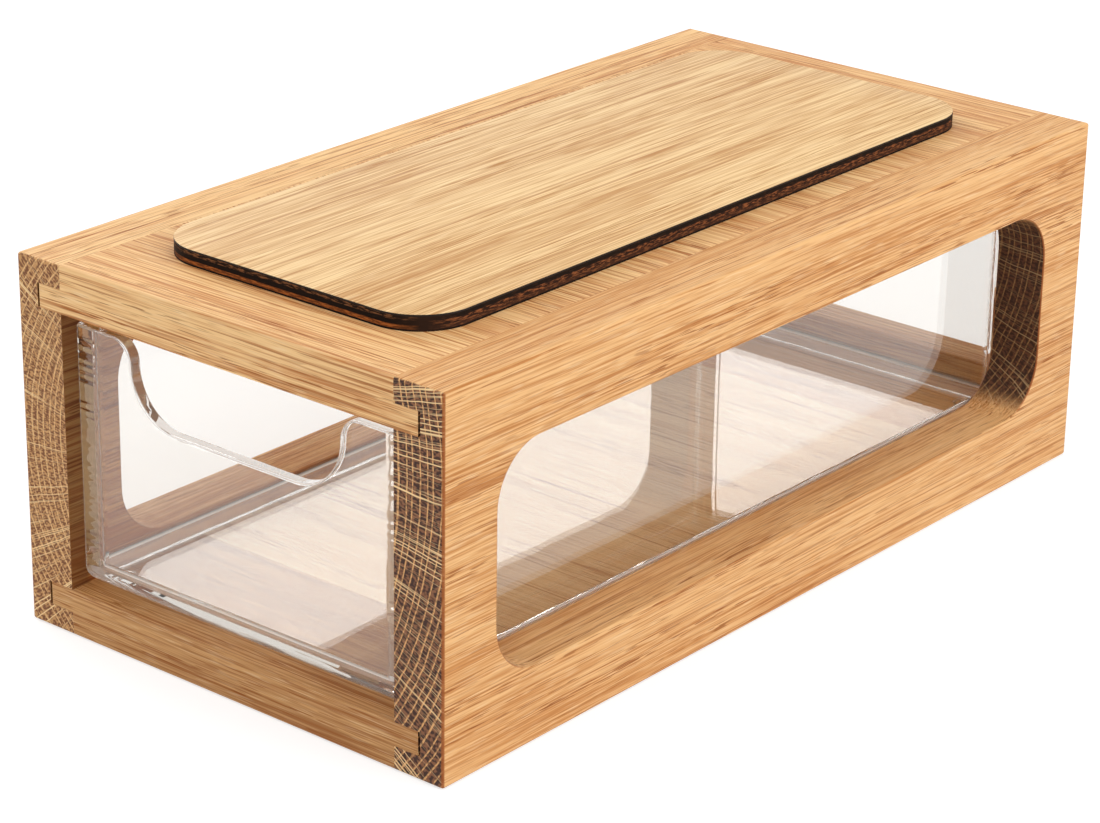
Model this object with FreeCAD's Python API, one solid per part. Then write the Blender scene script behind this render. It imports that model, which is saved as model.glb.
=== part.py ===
"""Tea bag drawer box: an oak case, open at the front and back, with a clear moulded drawer
and a plywood lid.

Millimetres. X runs to the right seen from the front, Y to the back, Z up.
The origin is the centre of the underside, so the front of the case is at -case_depth / 2.
"""

import FreeCAD
import Part
import os

Vector = FreeCAD.Vector

# --- Case --------------------------------------------------------------------------------
case_width = 166.0
case_depth = 320.0
case_height = 118.0
side_thickness = 18.0        # left and right panels, full height, grain front to back
board_thickness = 15.0       # top and bottom boards, grain from side to side
arris_radius = 1.0           # all outer edges of the case

# --- Tongue and groove joint between boards and sides ------------------------------------
tongue_thickness = 7.4       # left on the inner face of each board
groove_depth = 9.6           # ploughed from front to back into each side
tongue_end_gap = 0.8         # between the tongue's end and the groove's floor
tongue_face_gap = 0.12       # glue line above the tongue

# --- Staves that the top and bottom boards are glued up from -----------------------------
stave_count = 6

# --- Window in each side panel -----------------------------------------------------------
window_end_margin = 22.5     # from the window to the front and back edges
window_edge_margin = 24.0    # from the window to the top and bottom edges
window_corner_radius = 18.0
window_arris_radius = 0.6

# --- Rail at the back, which the drawer stops against ------------------------------------
rail_thickness = 14.0
rail_height = 16.0
rail_arris_radius = 0.8

# --- Lid ---------------------------------------------------------------------------------
lid_side_margin = 29.0       # from the lid to the left and right edges of the case
lid_end_margin = 25.0        # from the lid to the front and back edges of the case
lid_corner_radius = 18.0
face_veneer_thickness = 0.6
crossband_thickness = 1.2
core_ply_thickness = 1.4
back_veneer_thickness = 0.6
opening_overlap = 12.0       # lid beyond the left and right edges of the opening under it
locating_plate_thickness = 4.0
locating_plate_clearance = 0.75
locating_plate_corner_radius = 2.0

# --- Drawer ------------------------------------------------------------------------------
drawer_recess = 4.3          # drawer's front behind the front of the case
drawer_side_clearance = 0.75
drawer_top_clearance = 3.7
drawer_back_clearance = 0.3  # to the rail
drawer_front_wall = 4.2
drawer_wall = 3.5            # sides and back
drawer_floor = 3.5
drawer_base_radius = 5.0     # outer edge between floor and walls
drawer_base_inner_radius = 4.2
drawer_corner_radius = 1.8   # upright outer corners
drawer_corner_inner_radius = 4.3
drawer_rim_radius = 0.8
foot_height = 1.7            # low feet moulded under the drawer's corners
foot_radius = 3.2
foot_inset = 10.0            # from a foot's centre to the outer walls
foot_edge_radius = 0.5

# --- Finger notch in the drawer's front --------------------------------------------------
notch_half_width = 41.0      # to the upright part of its edge
notch_depth = 24.8
notch_lower_radius = 17.0
notch_upper_radius = 7.5

# --- Places worked out from the sizes above ----------------------------------------------
half_width = case_width / 2
half_depth = case_depth / 2
inner_half_width = half_width - side_thickness
top_board_underside = case_height - board_thickness
tongue_length = groove_depth - tongue_end_gap
lid_half_width = half_width - lid_side_margin
lid_half_depth = half_depth - lid_end_margin
opening_half_width = lid_half_width - opening_overlap
stave_width = case_depth / stave_count
opening_half_depth = half_depth - stave_width
drawer_half_width = inner_half_width - drawer_side_clearance
drawer_front = -half_depth + drawer_recess
drawer_back = half_depth - rail_thickness - drawer_back_clearance
drawer_base = board_thickness + foot_height
drawer_top = top_board_underside - drawer_top_clearance
beyond = 5.0                 # how far a cutting body runs past what it cuts


def box(low, high):
    """Box between two opposite corners, each given as (x, y, z)."""
    size = [b - a for a, b in zip(low, high)]
    return Part.makeBox(*size, Vector(*low))


def rounded_plate(half_x, half_y, radius, z_low, thickness):
    """Upright plate with rounded corners in plan, centred on the Z axis."""
    plate = box((-half_x, -half_y, z_low), (half_x, half_y, z_low + thickness))
    uprights = [e for e in plate.Edges if runs_along(e, 2)]
    return plate.makeFillet(radius, uprights)


def runs_along(edge, axis):
    """True if a straight edge runs along X, Y or Z, given as 0, 1 or 2."""
    bounds = edge.BoundBox
    spans = [bounds.XLength, bounds.YLength, bounds.ZLength]
    del spans[axis]
    return max(spans) < 1e-3


def lies_at(edge, axis, value):
    """True if the whole edge has this value on X, Y or Z, given as 0, 1 or 2."""
    bounds = edge.BoundBox
    low = (bounds.XMin, bounds.YMin, bounds.ZMin)[axis]
    high = (bounds.XMax, bounds.YMax, bounds.ZMax)[axis]
    return abs(low - value) < 1e-3 and abs(high - value) < 1e-3


def side_panel(side):
    """Left (side = -1) or right (side = 1) panel with two grooves and a window."""
    outer = side * half_width
    inner = side * inner_half_width
    low_x, high_x = sorted((outer, inner))
    panel = box((low_x, -half_depth, 0), (high_x, half_depth, case_height))
    arrises = [
        e
        for e in panel.Edges
        if lies_at(e, 0, outer) or (runs_along(e, 0) and not lies_at(e, 0, inner))
    ]
    panel = panel.makeFillet(arris_radius, arrises)

    groove_x = sorted((inner, inner + side * groove_depth))
    groove_height = tongue_thickness + tongue_face_gap
    for groove_low in (board_thickness - groove_height, top_board_underside):
        panel = panel.cut(
            box(
                (groove_x[0], -half_depth - beyond, groove_low),
                (groove_x[1], half_depth + beyond, groove_low + groove_height),
            )
        )

    cutter = box(
        (low_x - beyond, -half_depth + window_end_margin, window_edge_margin),
        (high_x + beyond, half_depth - window_end_margin, case_height - window_edge_margin),
    )
    corners = [e for e in cutter.Edges if runs_along(e, 0)]
    panel = panel.cut(cutter.makeFillet(window_corner_radius, corners))
    window_edges = [e for e in panel.Edges if borders_window(e, outer) or borders_window(e, inner)]
    return panel.makeFillet(window_arris_radius, window_edges)


def borders_window(edge, face_x):
    """True if the edge is where the window meets the panel's face at this X."""
    if not lies_at(edge, 0, face_x):
        return False
    bounds = edge.BoundBox
    inside_ends = bounds.YMax < half_depth - window_end_margin + 1e-3
    inside_ends = inside_ends and bounds.YMin > -half_depth + window_end_margin - 1e-3
    inside_edges = bounds.ZMax < case_height - window_edge_margin + 1e-3
    return inside_ends and inside_edges and bounds.ZMin > window_edge_margin - 1e-3


def stave(index, is_top):
    """One stave of the top or bottom board, counted from the front, with its two tongues."""
    front = -half_depth + index * stave_width
    low_z = top_board_underside if is_top else 0
    body = box(
        (-inner_half_width, front, low_z),
        (inner_half_width, front + stave_width, low_z + board_thickness),
    )
    outer_z = case_height if is_top else 0
    for end_y in (-half_depth, half_depth):
        arris = [e for e in body.Edges if lies_at(e, 1, end_y) and lies_at(e, 2, outer_z)]
        if arris:
            body = body.makeFillet(arris_radius, arris)

    tongue_low = top_board_underside if is_top else board_thickness - tongue_thickness
    reach = inner_half_width + tongue_length
    tongues = box(
        (-reach, front, tongue_low),
        (reach, front + stave_width, tongue_low + tongue_thickness),
    )
    return body.fuse(tongues).removeSplitter()


def top_staves():
    """Named pieces of the top board: whole end staves and short ones beside the opening."""
    opening = box(
        (-opening_half_width, -opening_half_depth, top_board_underside - beyond),
        (opening_half_width, opening_half_depth, case_height + beyond),
    )
    pieces = {}
    for index in range(stave_count):
        name = f"top_stave_{index + 1}"
        whole = stave(index, True)
        if index in (0, stave_count - 1):
            pieces[name] = whole
            continue
        for short_stave in whole.cut(opening).Solids:
            hand = "left" if short_stave.BoundBox.Center.x < 0 else "right"
            pieces[f"{name}_{hand}"] = short_stave
    return pieces


def bottom_staves():
    """Named staves of the bottom board."""
    return {f"bottom_stave_{i + 1}": stave(i, False) for i in range(stave_count)}


def back_rail():
    """Rail across the back, on the bottom board between the sides."""
    front = half_depth - rail_thickness
    top = board_thickness + rail_height
    rail = box((-inner_half_width, front, board_thickness), (inner_half_width, half_depth, top))
    arrises = [e for e in rail.Edges if runs_along(e, 0) and lies_at(e, 2, top)]
    return rail.makeFillet(rail_arris_radius, arrises)


def lid_plies():
    """Named plies of the lid, from the one that rests on the case to the top one."""
    stack = [
        ("lid_back_veneer", back_veneer_thickness),
        ("lid_lower_crossband", crossband_thickness),
        ("lid_core_ply", core_ply_thickness),
        ("lid_upper_crossband", crossband_thickness),
        ("lid_face_veneer", face_veneer_thickness),
    ]
    plies = {}
    z = case_height
    for name, thickness in stack:
        plies[name] = rounded_plate(lid_half_width, lid_half_depth, lid_corner_radius, z, thickness)
        z += thickness
    return plies


def lid_locating_plate():
    """Plate under the lid that drops into the opening of the top board."""
    return rounded_plate(
        opening_half_width - locating_plate_clearance,
        opening_half_depth - locating_plate_clearance,
        locating_plate_corner_radius,
        case_height - locating_plate_thickness,
        locating_plate_thickness,
    )


def rounded_bin(low, high, base_radius, corner_radius):
    """Box with rounded bottom edges and upright corners; its top edges stay sharp."""
    rounds = [
        (base_radius, lambda edge: lies_at(edge, 2, low[2])),
        (corner_radius, lambda edge: is_upright_corner(edge, low, high)),
    ]
    block = box(low, high)
    for radius, belongs in sorted(rounds, key=lambda pair: pair[0], reverse=True):
        block = block.makeFillet(radius, [e for e in block.Edges if belongs(e)])
    return block


def is_upright_corner(edge, low, high):
    """True for an upright corner edge, or for the mitre that carries it on under the base."""
    bounds = edge.BoundBox
    if bounds.ZLength < 1e-3:
        return False
    touches_x = min(abs(bounds.XMin - low[0]), abs(bounds.XMax - high[0])) < 1e-3
    touches_y = min(abs(bounds.YMin - low[1]), abs(bounds.YMax - high[1])) < 1e-3
    return touches_x and touches_y


def notch_cutter():
    """Body that cuts the finger notch: a flat floor, hollow lower corners, round shoulders."""
    floor_z = drawer_top - notch_depth
    shoulder_x = notch_half_width + notch_upper_radius
    roof_z = drawer_top + beyond
    right = [
        Vector(0, 0, floor_z),
        Vector(notch_half_width - notch_lower_radius, 0, floor_z),
        Vector(notch_half_width, 0, floor_z + notch_lower_radius),
        Vector(notch_half_width, 0, drawer_top - notch_upper_radius),
        Vector(shoulder_x, 0, drawer_top),
        Vector(shoulder_x, 0, roof_z),
        Vector(0, 0, roof_z),
    ]
    lower_centre = Vector(right[1].x, 0, right[2].z)
    upper_centre = Vector(shoulder_x, 0, right[3].z)
    edges = [
        Part.makeLine(right[0], right[1]),
        quarter_arc(lower_centre, notch_lower_radius, right[1], right[2]),
        quarter_arc(upper_centre, notch_upper_radius, right[3], right[4]),
        Part.makeLine(right[4], right[5]),
        Part.makeLine(right[5], right[6]),
        Part.makeLine(right[6], right[0]),
    ]
    if right[3].z - right[2].z > 1e-6:
        edges.insert(2, Part.makeLine(right[2], right[3]))
    half = Part.Face(Part.Wire(edges)).extrude(Vector(0, drawer_front_wall + 2 * beyond, 0))
    half.translate(Vector(0, drawer_front - beyond, 0))
    mirrored = half.mirror(Vector(0, 0, 0), Vector(1, 0, 0))
    return half.fuse(mirrored).removeSplitter()


def quarter_arc(centre, radius, start, end):
    """Quarter circle in the XZ plane between two points, on the short way round."""
    chord_middle = (start + end) / 2
    bulge = (chord_middle - centre).normalize() * radius
    return Part.Arc(start, centre + bulge, end).toShape()


def drawer_feet():
    """The four feet, which reach a little into the drawer's floor."""
    foot_x = drawer_half_width - foot_inset
    feet = []
    for x in (-foot_x, foot_x):
        for y in (drawer_front + foot_inset, drawer_back - foot_inset):
            height = foot_height + drawer_floor / 2
            foot = Part.makeCylinder(foot_radius, height, Vector(x, y, board_thickness))
            lower_edge = [e for e in foot.Edges if lies_at(e, 2, board_thickness)]
            feet.append(foot.makeFillet(foot_edge_radius, lower_edge))
    return feet


def drawer_bin():
    """Open-topped moulded drawer on low feet, with a finger notch in its front."""
    low = (-drawer_half_width, drawer_front, drawer_base)
    high = (drawer_half_width, drawer_back, drawer_top)
    shell = rounded_bin(low, high, drawer_base_radius, drawer_corner_radius)
    hollow = rounded_bin(
        (low[0] + drawer_wall, low[1] + drawer_front_wall, low[2] + drawer_floor),
        (high[0] - drawer_wall, high[1] - drawer_wall, high[2] + beyond),
        drawer_base_inner_radius,
        drawer_corner_inner_radius,
    )
    shell = shell.cut(hollow).cut(notch_cutter())
    shell = shell.makeFillet(drawer_rim_radius, [e for e in shell.Edges if is_rim(e)])
    return shell.multiFuse(drawer_feet()).removeSplitter()


def is_rim(edge):
    """True for an edge of the drawer's rim, along the top and round the notch."""
    if runs_along(edge, 1) and abs(edge.Length - drawer_front_wall) < 1e-3:
        return False
    if lies_at(edge, 2, drawer_top):
        return True
    bounds = edge.BoundBox
    wall_faces = (drawer_front, drawer_front + drawer_front_wall)
    on_wall_face = any(lies_at(edge, 1, y) for y in wall_faces)
    notch_floor = drawer_top - notch_depth
    reach = max(abs(bounds.XMin), abs(bounds.XMax))
    notch_reach = notch_half_width + notch_upper_radius
    in_notch = bounds.ZMin > notch_floor - 1e-3 and reach < notch_reach + 1e-3
    return on_wall_face and in_notch


def main():
    """Build each sub-part and write it to its own STEP file."""
    pieces = {
        "left_side_panel": side_panel(-1),
        "right_side_panel": side_panel(1),
        "back_rail": back_rail(),
        "lid_locating_plate": lid_locating_plate(),
        "drawer_bin": drawer_bin(),
    }
    pieces.update(top_staves())
    pieces.update(bottom_staves())
    pieces.update(lid_plies())

    os.makedirs("parts", exist_ok=True)
    for name, shape in pieces.items():
        shape.exportStep(f"parts/{name}.step")
        volume_cm3 = shape.Volume / 1000
        print(f"{name}: {len(shape.Solids)} solid, valid {shape.isValid()}, {volume_cm3:.1f} cm3")


main()
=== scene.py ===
"""Looks of the tea bag drawer box: an oiled oak case, a clear drawer and a laser-cut lid.

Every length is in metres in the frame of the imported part, unless its name ends in _mm.
"""

import logging
import math
from collections.abc import Mapping, Sequence
from dataclasses import dataclass, field, replace
from enum import Enum
from typing import Any, ClassVar

import bmesh
import bpy
from mathutils import Euler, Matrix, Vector


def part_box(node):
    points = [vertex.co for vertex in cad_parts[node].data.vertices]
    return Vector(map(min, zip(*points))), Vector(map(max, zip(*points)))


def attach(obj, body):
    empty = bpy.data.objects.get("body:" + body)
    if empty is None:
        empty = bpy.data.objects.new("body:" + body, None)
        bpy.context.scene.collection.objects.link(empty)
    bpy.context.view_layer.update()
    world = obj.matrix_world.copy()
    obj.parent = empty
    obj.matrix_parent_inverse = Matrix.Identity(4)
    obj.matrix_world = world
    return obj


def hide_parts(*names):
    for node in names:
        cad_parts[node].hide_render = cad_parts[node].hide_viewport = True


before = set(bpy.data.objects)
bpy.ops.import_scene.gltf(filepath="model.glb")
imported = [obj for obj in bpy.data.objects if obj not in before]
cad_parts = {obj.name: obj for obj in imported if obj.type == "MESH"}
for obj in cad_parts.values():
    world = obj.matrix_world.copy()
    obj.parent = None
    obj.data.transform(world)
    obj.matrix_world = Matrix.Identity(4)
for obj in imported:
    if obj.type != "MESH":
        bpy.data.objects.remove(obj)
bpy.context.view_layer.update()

LOG = logging.getLogger("tea_bag_drawer_box")
MM = 0.001
UP = Vector((0.0, 0.0, 1.0))
# A Mix node's sockets for colours share their names with those for numbers, so they go by
# position: the share of the second colour, the two colours and, as an output, their blend.
MIX_SHARE, MIX_FIRST, MIX_SECOND, BLEND = 0, 6, 7, 2

Point = tuple[float, float, float]
Triple = tuple[float, float, float]
Pair = tuple[float, float]
Tones = tuple[str, str]
Polar = tuple[bpy.types.NodeSocket, bpy.types.NodeSocket, bpy.types.NodeSocket]
Settings = Mapping[str | int, Any]


# --- Shared helpers ----------------------------------------------------------------------


def linear(hex_colour: str) -> tuple[float, float, float, float]:
    """Turn an sRGB hex colour into the linear RGBA that a socket takes.

    Args:
        hex_colour: A colour such as "#d2a46c".

    Returns:
        Linear red, green and blue, and an alpha of 1.
    """
    channels = []
    for start in (1, 3, 5):
        value = int(hex_colour[start : start + 2], 16) / 255
        # The two parts of the sRGB curve.
        channels.append(value / 12.92 if value <= 0.04045 else ((value + 0.055) / 1.055) ** 2.4)
    return (channels[0], channels[1], channels[2], 1.0)


def add_node(
    tree: bpy.types.NodeTree,
    kind: str,
    settings: Settings,
    links: Mapping[str | int, bpy.types.NodeSocket],
) -> bpy.types.Node:
    """Add one node to a tree, set it up and link what feeds it.

    Args:
        tree: The material's or world's node tree.
        kind: The node's class name.
        settings: Values by socket name or number, or by the node's own property name.
        links: The output that feeds each socket, by socket name or number.

    Returns:
        The new node.
    """
    node = tree.nodes.new(kind)
    for key, value in settings.items():
        if isinstance(key, int) or key in node.inputs:
            node.inputs[key].default_value = value
        else:
            setattr(node, key, value)
    for key, source in links.items():
        tree.links.new(source, node.inputs[key])
    return node


def new_material(name: str) -> tuple[bpy.types.Material, bpy.types.NodeTree]:
    """Make an empty node material.

    Args:
        name: The finish's name.

    Returns:
        The material and its cleared node tree.
    """
    material = bpy.data.materials.new(name)
    material.use_nodes = True
    material.node_tree.nodes.clear()
    return material, material.node_tree


def seen_rays(tree: bpy.types.NodeTree) -> bpy.types.NodeSocket:
    """Tell the rays that show what is behind the box from those that light it.

    Args:
        tree: The material's or world's node tree.

    Returns:
        1 for rays from the eye and for those that gloss or plastic sends on, otherwise 0.
    """
    path = add_node(tree, "ShaderNodeLightPath", {}, {})
    seen = path.outputs["Is Camera Ray"]
    for kind in ("Is Glossy Ray", "Is Transmission Ray"):
        links = {0: seen, 1: path.outputs[kind]}
        seen = add_node(tree, "ShaderNodeMath", {"operation": "MAXIMUM"}, links).outputs[0]
    return seen


def dress(piece: bpy.types.Object, material: bpy.types.Material) -> None:
    """Give a piece one material in place of what it had."""
    piece.data.materials.clear()
    piece.data.materials.append(material)


def mesh_piece(name: str, mesh: bmesh.types.BMesh) -> bpy.types.Object:
    """Turn finished mesh data into a smooth-shaded object in the scene.

    Args:
        name: The piece's name.
        mesh: The mesh, which is freed.

    Returns:
        The new object.
    """
    bmesh.ops.recalc_face_normals(mesh, faces=mesh.faces)
    data = bpy.data.meshes.new(name)
    mesh.to_mesh(data)
    mesh.free()
    data.shade_smooth()
    piece = bpy.data.objects.new(name, data)
    bpy.context.scene.collection.objects.link(piece)
    return piece


# --- Finishes ----------------------------------------------------------------------------


class Grain(Enum):
    """Which way the fibres of a piece of wood run."""

    FRONT_TO_BACK = "Y"
    SIDE_TO_SIDE = "X"

    @property
    def across(self) -> str:
        """Name the level axis across the fibres."""
        return "X" if self is Grain.FRONT_TO_BACK else "Y"


@dataclass(frozen=True)
class OiledOak:
    """European oak, planed, sanded and oiled.

    The oil warms the colour and leaves the surface satin. Growth rings, pores and rays are
    worked out in the solid, so long faces show streaks and ends show rings. Real pores are 0.2
    to 0.4 mm wide, and these are at the upper end of that. Real fibres are far too fine to
    show: the streaks, fibres and dark lines here stand for bundles of them.
    """

    # So long a figure hardly changes, as along the grain of one cut end.
    UNCHANGING_MM: ClassVar[float] = 1000.0
    # Sizes round the pith hold at the pith's distance from the origin and this much more.
    PAST_ORIGIN_MM: ClassVar[float] = 20.0
    # Settings of Map Range nodes: between which values of its figure a feature comes in.
    SMOOTH: ClassVar[Settings] = {"interpolation_type": "SMOOTHSTEP"}
    CUT_OPEN: ClassVar[Settings] = {"From Min": 0.58, "From Max": 0.68, **SMOOTH}
    SPRING_WOOD: ClassVar[Settings] = {
        "From Min": 0.3,
        "From Max": 0.65,
        "To Min": 1.0,
        "To Max": 0.2,
        **SMOOTH,
    }
    CROWDED: ClassVar[Settings] = {"From Min": 0.4, "From Max": 0.62, "To Min": 0.35}
    WARMED: ClassVar[Settings] = {"From Min": 1.3, "From Max": 1.82}
    FLECKED: ClassVar[Settings] = {"From Min": 0.6, "From Max": 0.74}
    LINED: ClassVar[Settings] = {"From Min": 0.58, "From Max": 0.63}
    EARLY: ClassVar[Settings] = {"From Max": 0.8, "To Min": 1.0, "To Max": 0.3}
    RAYED: ClassVar[Settings] = {"From Min": 0.6, "From Max": 0.72}
    BUNDLED: ClassVar[Settings] = {"From Min": 0.35, "From Max": 0.6, "To Min": 0.25}
    FLAMED: ClassVar[Settings] = {"From Min": 0.42, "From Max": 0.62}
    SUMMER_WOOD: ClassVar[Settings] = {"From Min": 0.74, "From Max": 0.86, **SMOOTH}
    BROKEN: ClassVar[Settings] = {"From Min": 0.36, "From Max": 0.56, "To Min": 0.35}
    # The same, for how squarely a surface faces an axis.
    END_GRAIN: ClassVar[Settings] = {"From Min": 0.3, "From Max": 0.75, **SMOOTH}
    ROUNDED: ClassVar[Settings] = {"From Min": 0.999, "From Max": 0.92}
    UPRIGHT: ClassVar[Settings] = {"From Max": 0.4}
    INWARD: ClassVar[Settings] = {"From Min": 0.7, "From Max": 0.98}
    LASER_CUT: ClassVar[Settings] = {"From Min": 0.95, "From Max": 0.7}

    name: str
    grain: Grain
    # Where the tree's pith lies, across the grain and up, and what parts its figure from
    # another tree's.
    pith_mm: Pair
    seed: float = 0.0
    # Growth rings: their width, by how many rings good and bad years shift them, and how
    # many such changes come to a ring.
    ring_mm: float = 2.5
    ring_shift: float = 1.1
    ring_changes: float = 0.4
    # The tree's slow wander and the waver of its fibres, and how far each reaches sideways.
    wander_mm: Pair = (260.0, 60.0)
    wander_reach_mm: float = 4.0
    waver_mm: Pair = (50.0, 7.0)
    waver_reach_mm: float = 0.7
    # Figures of the long faces, along and across the grain.
    tone_mm: Pair = (350.0, 16.0)
    streak_mm: Pair = (70.0, 0.8)
    fibre_mm: Pair = (24.0, 0.4)
    fleck_mm: Pair = (9.0, 0.4)
    line_mm: Pair = (75.0, 0.8)
    pore_mm: Pair = (10.0, 0.34)
    crowd_mm: Pair = (90.0, 9.0)
    # Figures of the ends, outward from the pith, round it and along the grain.
    ray_mm: Triple = (60.0, 0.5, 22.0)
    bundle_mm: Triple = (90.0, 7.0, 60.0)
    flame_mm: Triple = (1.3, 0.8, UNCHANGING_MM)
    break_mm: Triple = (1.2, 0.9, UNCHANGING_MM)
    # How strongly the figures show.
    streak_share: float = 1.2
    fibre_share: float = 0.9
    fleck_depth: float = 0.25
    line_depth: float = 0.75
    pore_depth: float = 0.8
    # Colours of the long faces: the wood between two tones, and what lies over it.
    pale: str = "#f0c58a"
    warm: str = "#c7854a"
    line: str = "#9c5a22"
    pore: str = "#8c4a18"
    fleck: str = "#f6dcb2"
    # Colours of the ends: summer wood, then spring wood between two tones, and the rays.
    end_pale: str = "#dba56b"
    end_mid: str = "#86573a"
    end_dark: str = "#3b2116"
    ray: str = "#f3cf98"
    # The arrises, which are rubbed round and take up more oil.
    arris: str = "#9a5423"
    arris_depth: float = 0.15
    # A side panel's window: end grain within this reach of the panel's middle lies in the
    # window's recess and takes painted shade, of this colour and depth. Another piece has 0.
    window_reach_mm: float = 0.0
    reveal_shade: str = "#3a2419"
    reveal_shade_depth: float = 0.6
    # A side panel's face towards the drawer: which way along X it looks, the painted shade on
    # that face, the deeper painted shade beyond that reach, next to the ends, and over what
    # length it comes in. Another piece has 0.
    inward: float = 0.0
    inner_face_shade: str = "#e6cbac"
    end_recess_shade: str = "#b4b8bc"
    shade_fade_mm: float = 4.0
    # The colour of a veneer's edge where a laser cut it.
    scorched: str | None = None
    # Oiled wood has an IOR of about 1.45. Its open fibres trap part of the gloss.
    ior: float = 1.45
    gloss: float = 0.3
    roughness: float = 0.5
    pore_roughness: float = 0.75
    # How sharply the pores sink in, and how deep.
    relief: float = 0.3
    relief_mm: float = 0.1

    def build(self) -> bpy.types.Material:
        """Build the node material.

        Returns:
            The finished material.
        """
        material, tree = new_material(self.name)
        coords = add_node(tree, "ShaderNodeTexCoord", {}, {})
        normal = coords.outputs["Normal"]
        timber = self._timber(tree, coords.outputs["Object"])
        polar = self._round_the_pith(tree, timber)
        radius, _, along = polar
        rings = self._rings(tree, radius)
        rays = self._rays(tree, polar)
        pores = self._pores(tree, timber, rings)
        face = self._face_colour(tree, timber, rings, pores)
        end = self._end_colour(tree, polar, rings, rays)
        # Painted shade on the end grain inside a side panel's window, whose recess lies in
        # shade.
        if self.window_reach_mm:
            end = self._paint_reveal_shade(tree, along, end)
        ends, arris = self._where(tree, normal)
        wood = add_node(
            tree,
            "ShaderNodeMix",
            {"data_type": "RGBA"},
            {MIX_SHARE: ends, MIX_FIRST: face, MIX_SECOND: end},
        )
        rubbed = add_node(
            tree,
            "ShaderNodeMix",
            {"data_type": "RGBA", MIX_SECOND: linear(self.arris)},
            {MIX_SHARE: arris, MIX_FIRST: wood.outputs[BLEND]},
        )
        colour = rubbed.outputs[BLEND]
        # Painted shade on a side panel's face towards the drawer, deepest next to its ends.
        if self.inward:
            colour = self._paint_inner_face_shade(tree, normal, along, colour)
        if self.scorched:
            colour = self._scorch(tree, normal, colour)
        roughness = add_node(
            tree,
            "ShaderNodeMapRange",
            {"To Min": self.roughness, "To Max": self.pore_roughness},
            {"Value": pores},
        )
        bump = add_node(
            tree,
            "ShaderNodeBump",
            {"invert": True, "Strength": self.relief, "Distance": self.relief_mm * MM},
            {"Height": pores},
        )
        surface = add_node(
            tree,
            "ShaderNodeBsdfPrincipled",
            {"IOR": self.ior, "Metallic": 0.0, "Specular IOR Level": self.gloss},
            {
                "Base Color": colour,
                "Roughness": roughness.outputs["Result"],
                "Normal": bump.outputs["Normal"],
            },
        )
        add_node(tree, "ShaderNodeOutputMaterial", {}, {"Surface": surface.outputs["BSDF"]})
        return material

    def _timber(
        self, tree: bpy.types.NodeTree, place: bpy.types.NodeSocket
    ) -> bpy.types.NodeSocket:
        """Turn a place in the piece into millimetres along and across the fibres.

        Args:
            tree: The material's node tree.
            place: Object coordinates in metres.

        Returns:
            A vector: along the grain, across it, and up, bent by the tree's own wander.
        """
        scaled = add_node(
            tree, "ShaderNodeVectorMath", {"operation": "SCALE", "Scale": 1 / MM}, {0: place}
        )
        axes = add_node(tree, "ShaderNodeSeparateXYZ", {}, {0: scaled.outputs[0]})
        turned = {
            "X": axes.outputs[self.grain.value],
            "Y": axes.outputs[self.grain.across],
            "Z": axes.outputs["Z"],
        }
        straight = add_node(tree, "ShaderNodeCombineXYZ", {}, turned)
        bent = straight.outputs[0]
        for size_mm, reach_mm in (
            (self.wander_mm, self.wander_reach_mm),
            (self.waver_mm, self.waver_reach_mm),
        ):
            figure = self._drawn_along(tree, straight.outputs[0], size_mm, 1.0)
            # The figure's three channels lie about a half, and so bend both ways.
            centred = add_node(
                tree,
                "ShaderNodeVectorMath",
                {"operation": "SUBTRACT", 1: (0.5, 0.5, 0.5)},
                {0: figure.outputs["Color"]},
            )
            bent = add_node(
                tree,
                "ShaderNodeVectorMath",
                {"operation": "MULTIPLY_ADD", 1: (0.0, reach_mm, reach_mm)},
                {0: centred.outputs[0], 2: bent},
            ).outputs[0]
        return bent

    def _drawn_along(
        self,
        tree: bpy.types.NodeTree,
        timber: bpy.types.NodeSocket,
        size_mm: Pair,
        detail: float,
    ) -> bpy.types.Node:
        """Draw a random figure out along the grain, as fibres are.

        Args:
            tree: The material's node tree.
            timber: A vector in millimetres, the grain along its X.
            size_mm: The size of the figure along and across the grain.
            detail: How many finer layers the figure has.

        Returns:
            The node that gives the figure.
        """
        along_mm, across_mm = size_mm
        # The seed shifts the figure, by unlike amounts along the axes, to part the trees.
        drawn_out = add_node(
            tree,
            "ShaderNodeVectorMath",
            {
                "operation": "MULTIPLY_ADD",
                1: (1 / along_mm, 1 / across_mm, 1 / across_mm),
                2: (self.seed, 1.7 * self.seed, 2.3 * self.seed),
            },
            {0: timber},
        )
        return add_node(
            tree,
            "ShaderNodeTexNoise",
            {"Scale": 1.0, "Detail": detail, "Roughness": 0.55},
            {"Vector": drawn_out.outputs[0]},
        )

    def _round_the_pith(
        self, tree: bpy.types.NodeTree, timber: bpy.types.NodeSocket
    ) -> Polar:
        """Measure a place from the tree's pith.

        Args:
            tree: The material's node tree.
            timber: The place in the timber.

        Returns:
            The distance from the pith, the angle round it and the place along it.
        """
        from_pith = add_node(
            tree,
            "ShaderNodeVectorMath",
            {"operation": "SUBTRACT", 1: (0.0, *self.pith_mm)},
            {0: timber},
        )
        axes = add_node(tree, "ShaderNodeSeparateXYZ", {}, {0: from_pith.outputs[0]})
        sideways, up = axes.outputs["Y"], axes.outputs["Z"]
        flat = add_node(tree, "ShaderNodeCombineXYZ", {}, {"Y": sideways, "Z": up})
        radius = add_node(
            tree, "ShaderNodeVectorMath", {"operation": "LENGTH"}, {0: flat.outputs[0]}
        )
        angle = add_node(tree, "ShaderNodeMath", {"operation": "ARCTAN2"}, {0: up, 1: sideways})
        return radius.outputs["Value"], angle.outputs[0], axes.outputs["X"]

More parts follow.
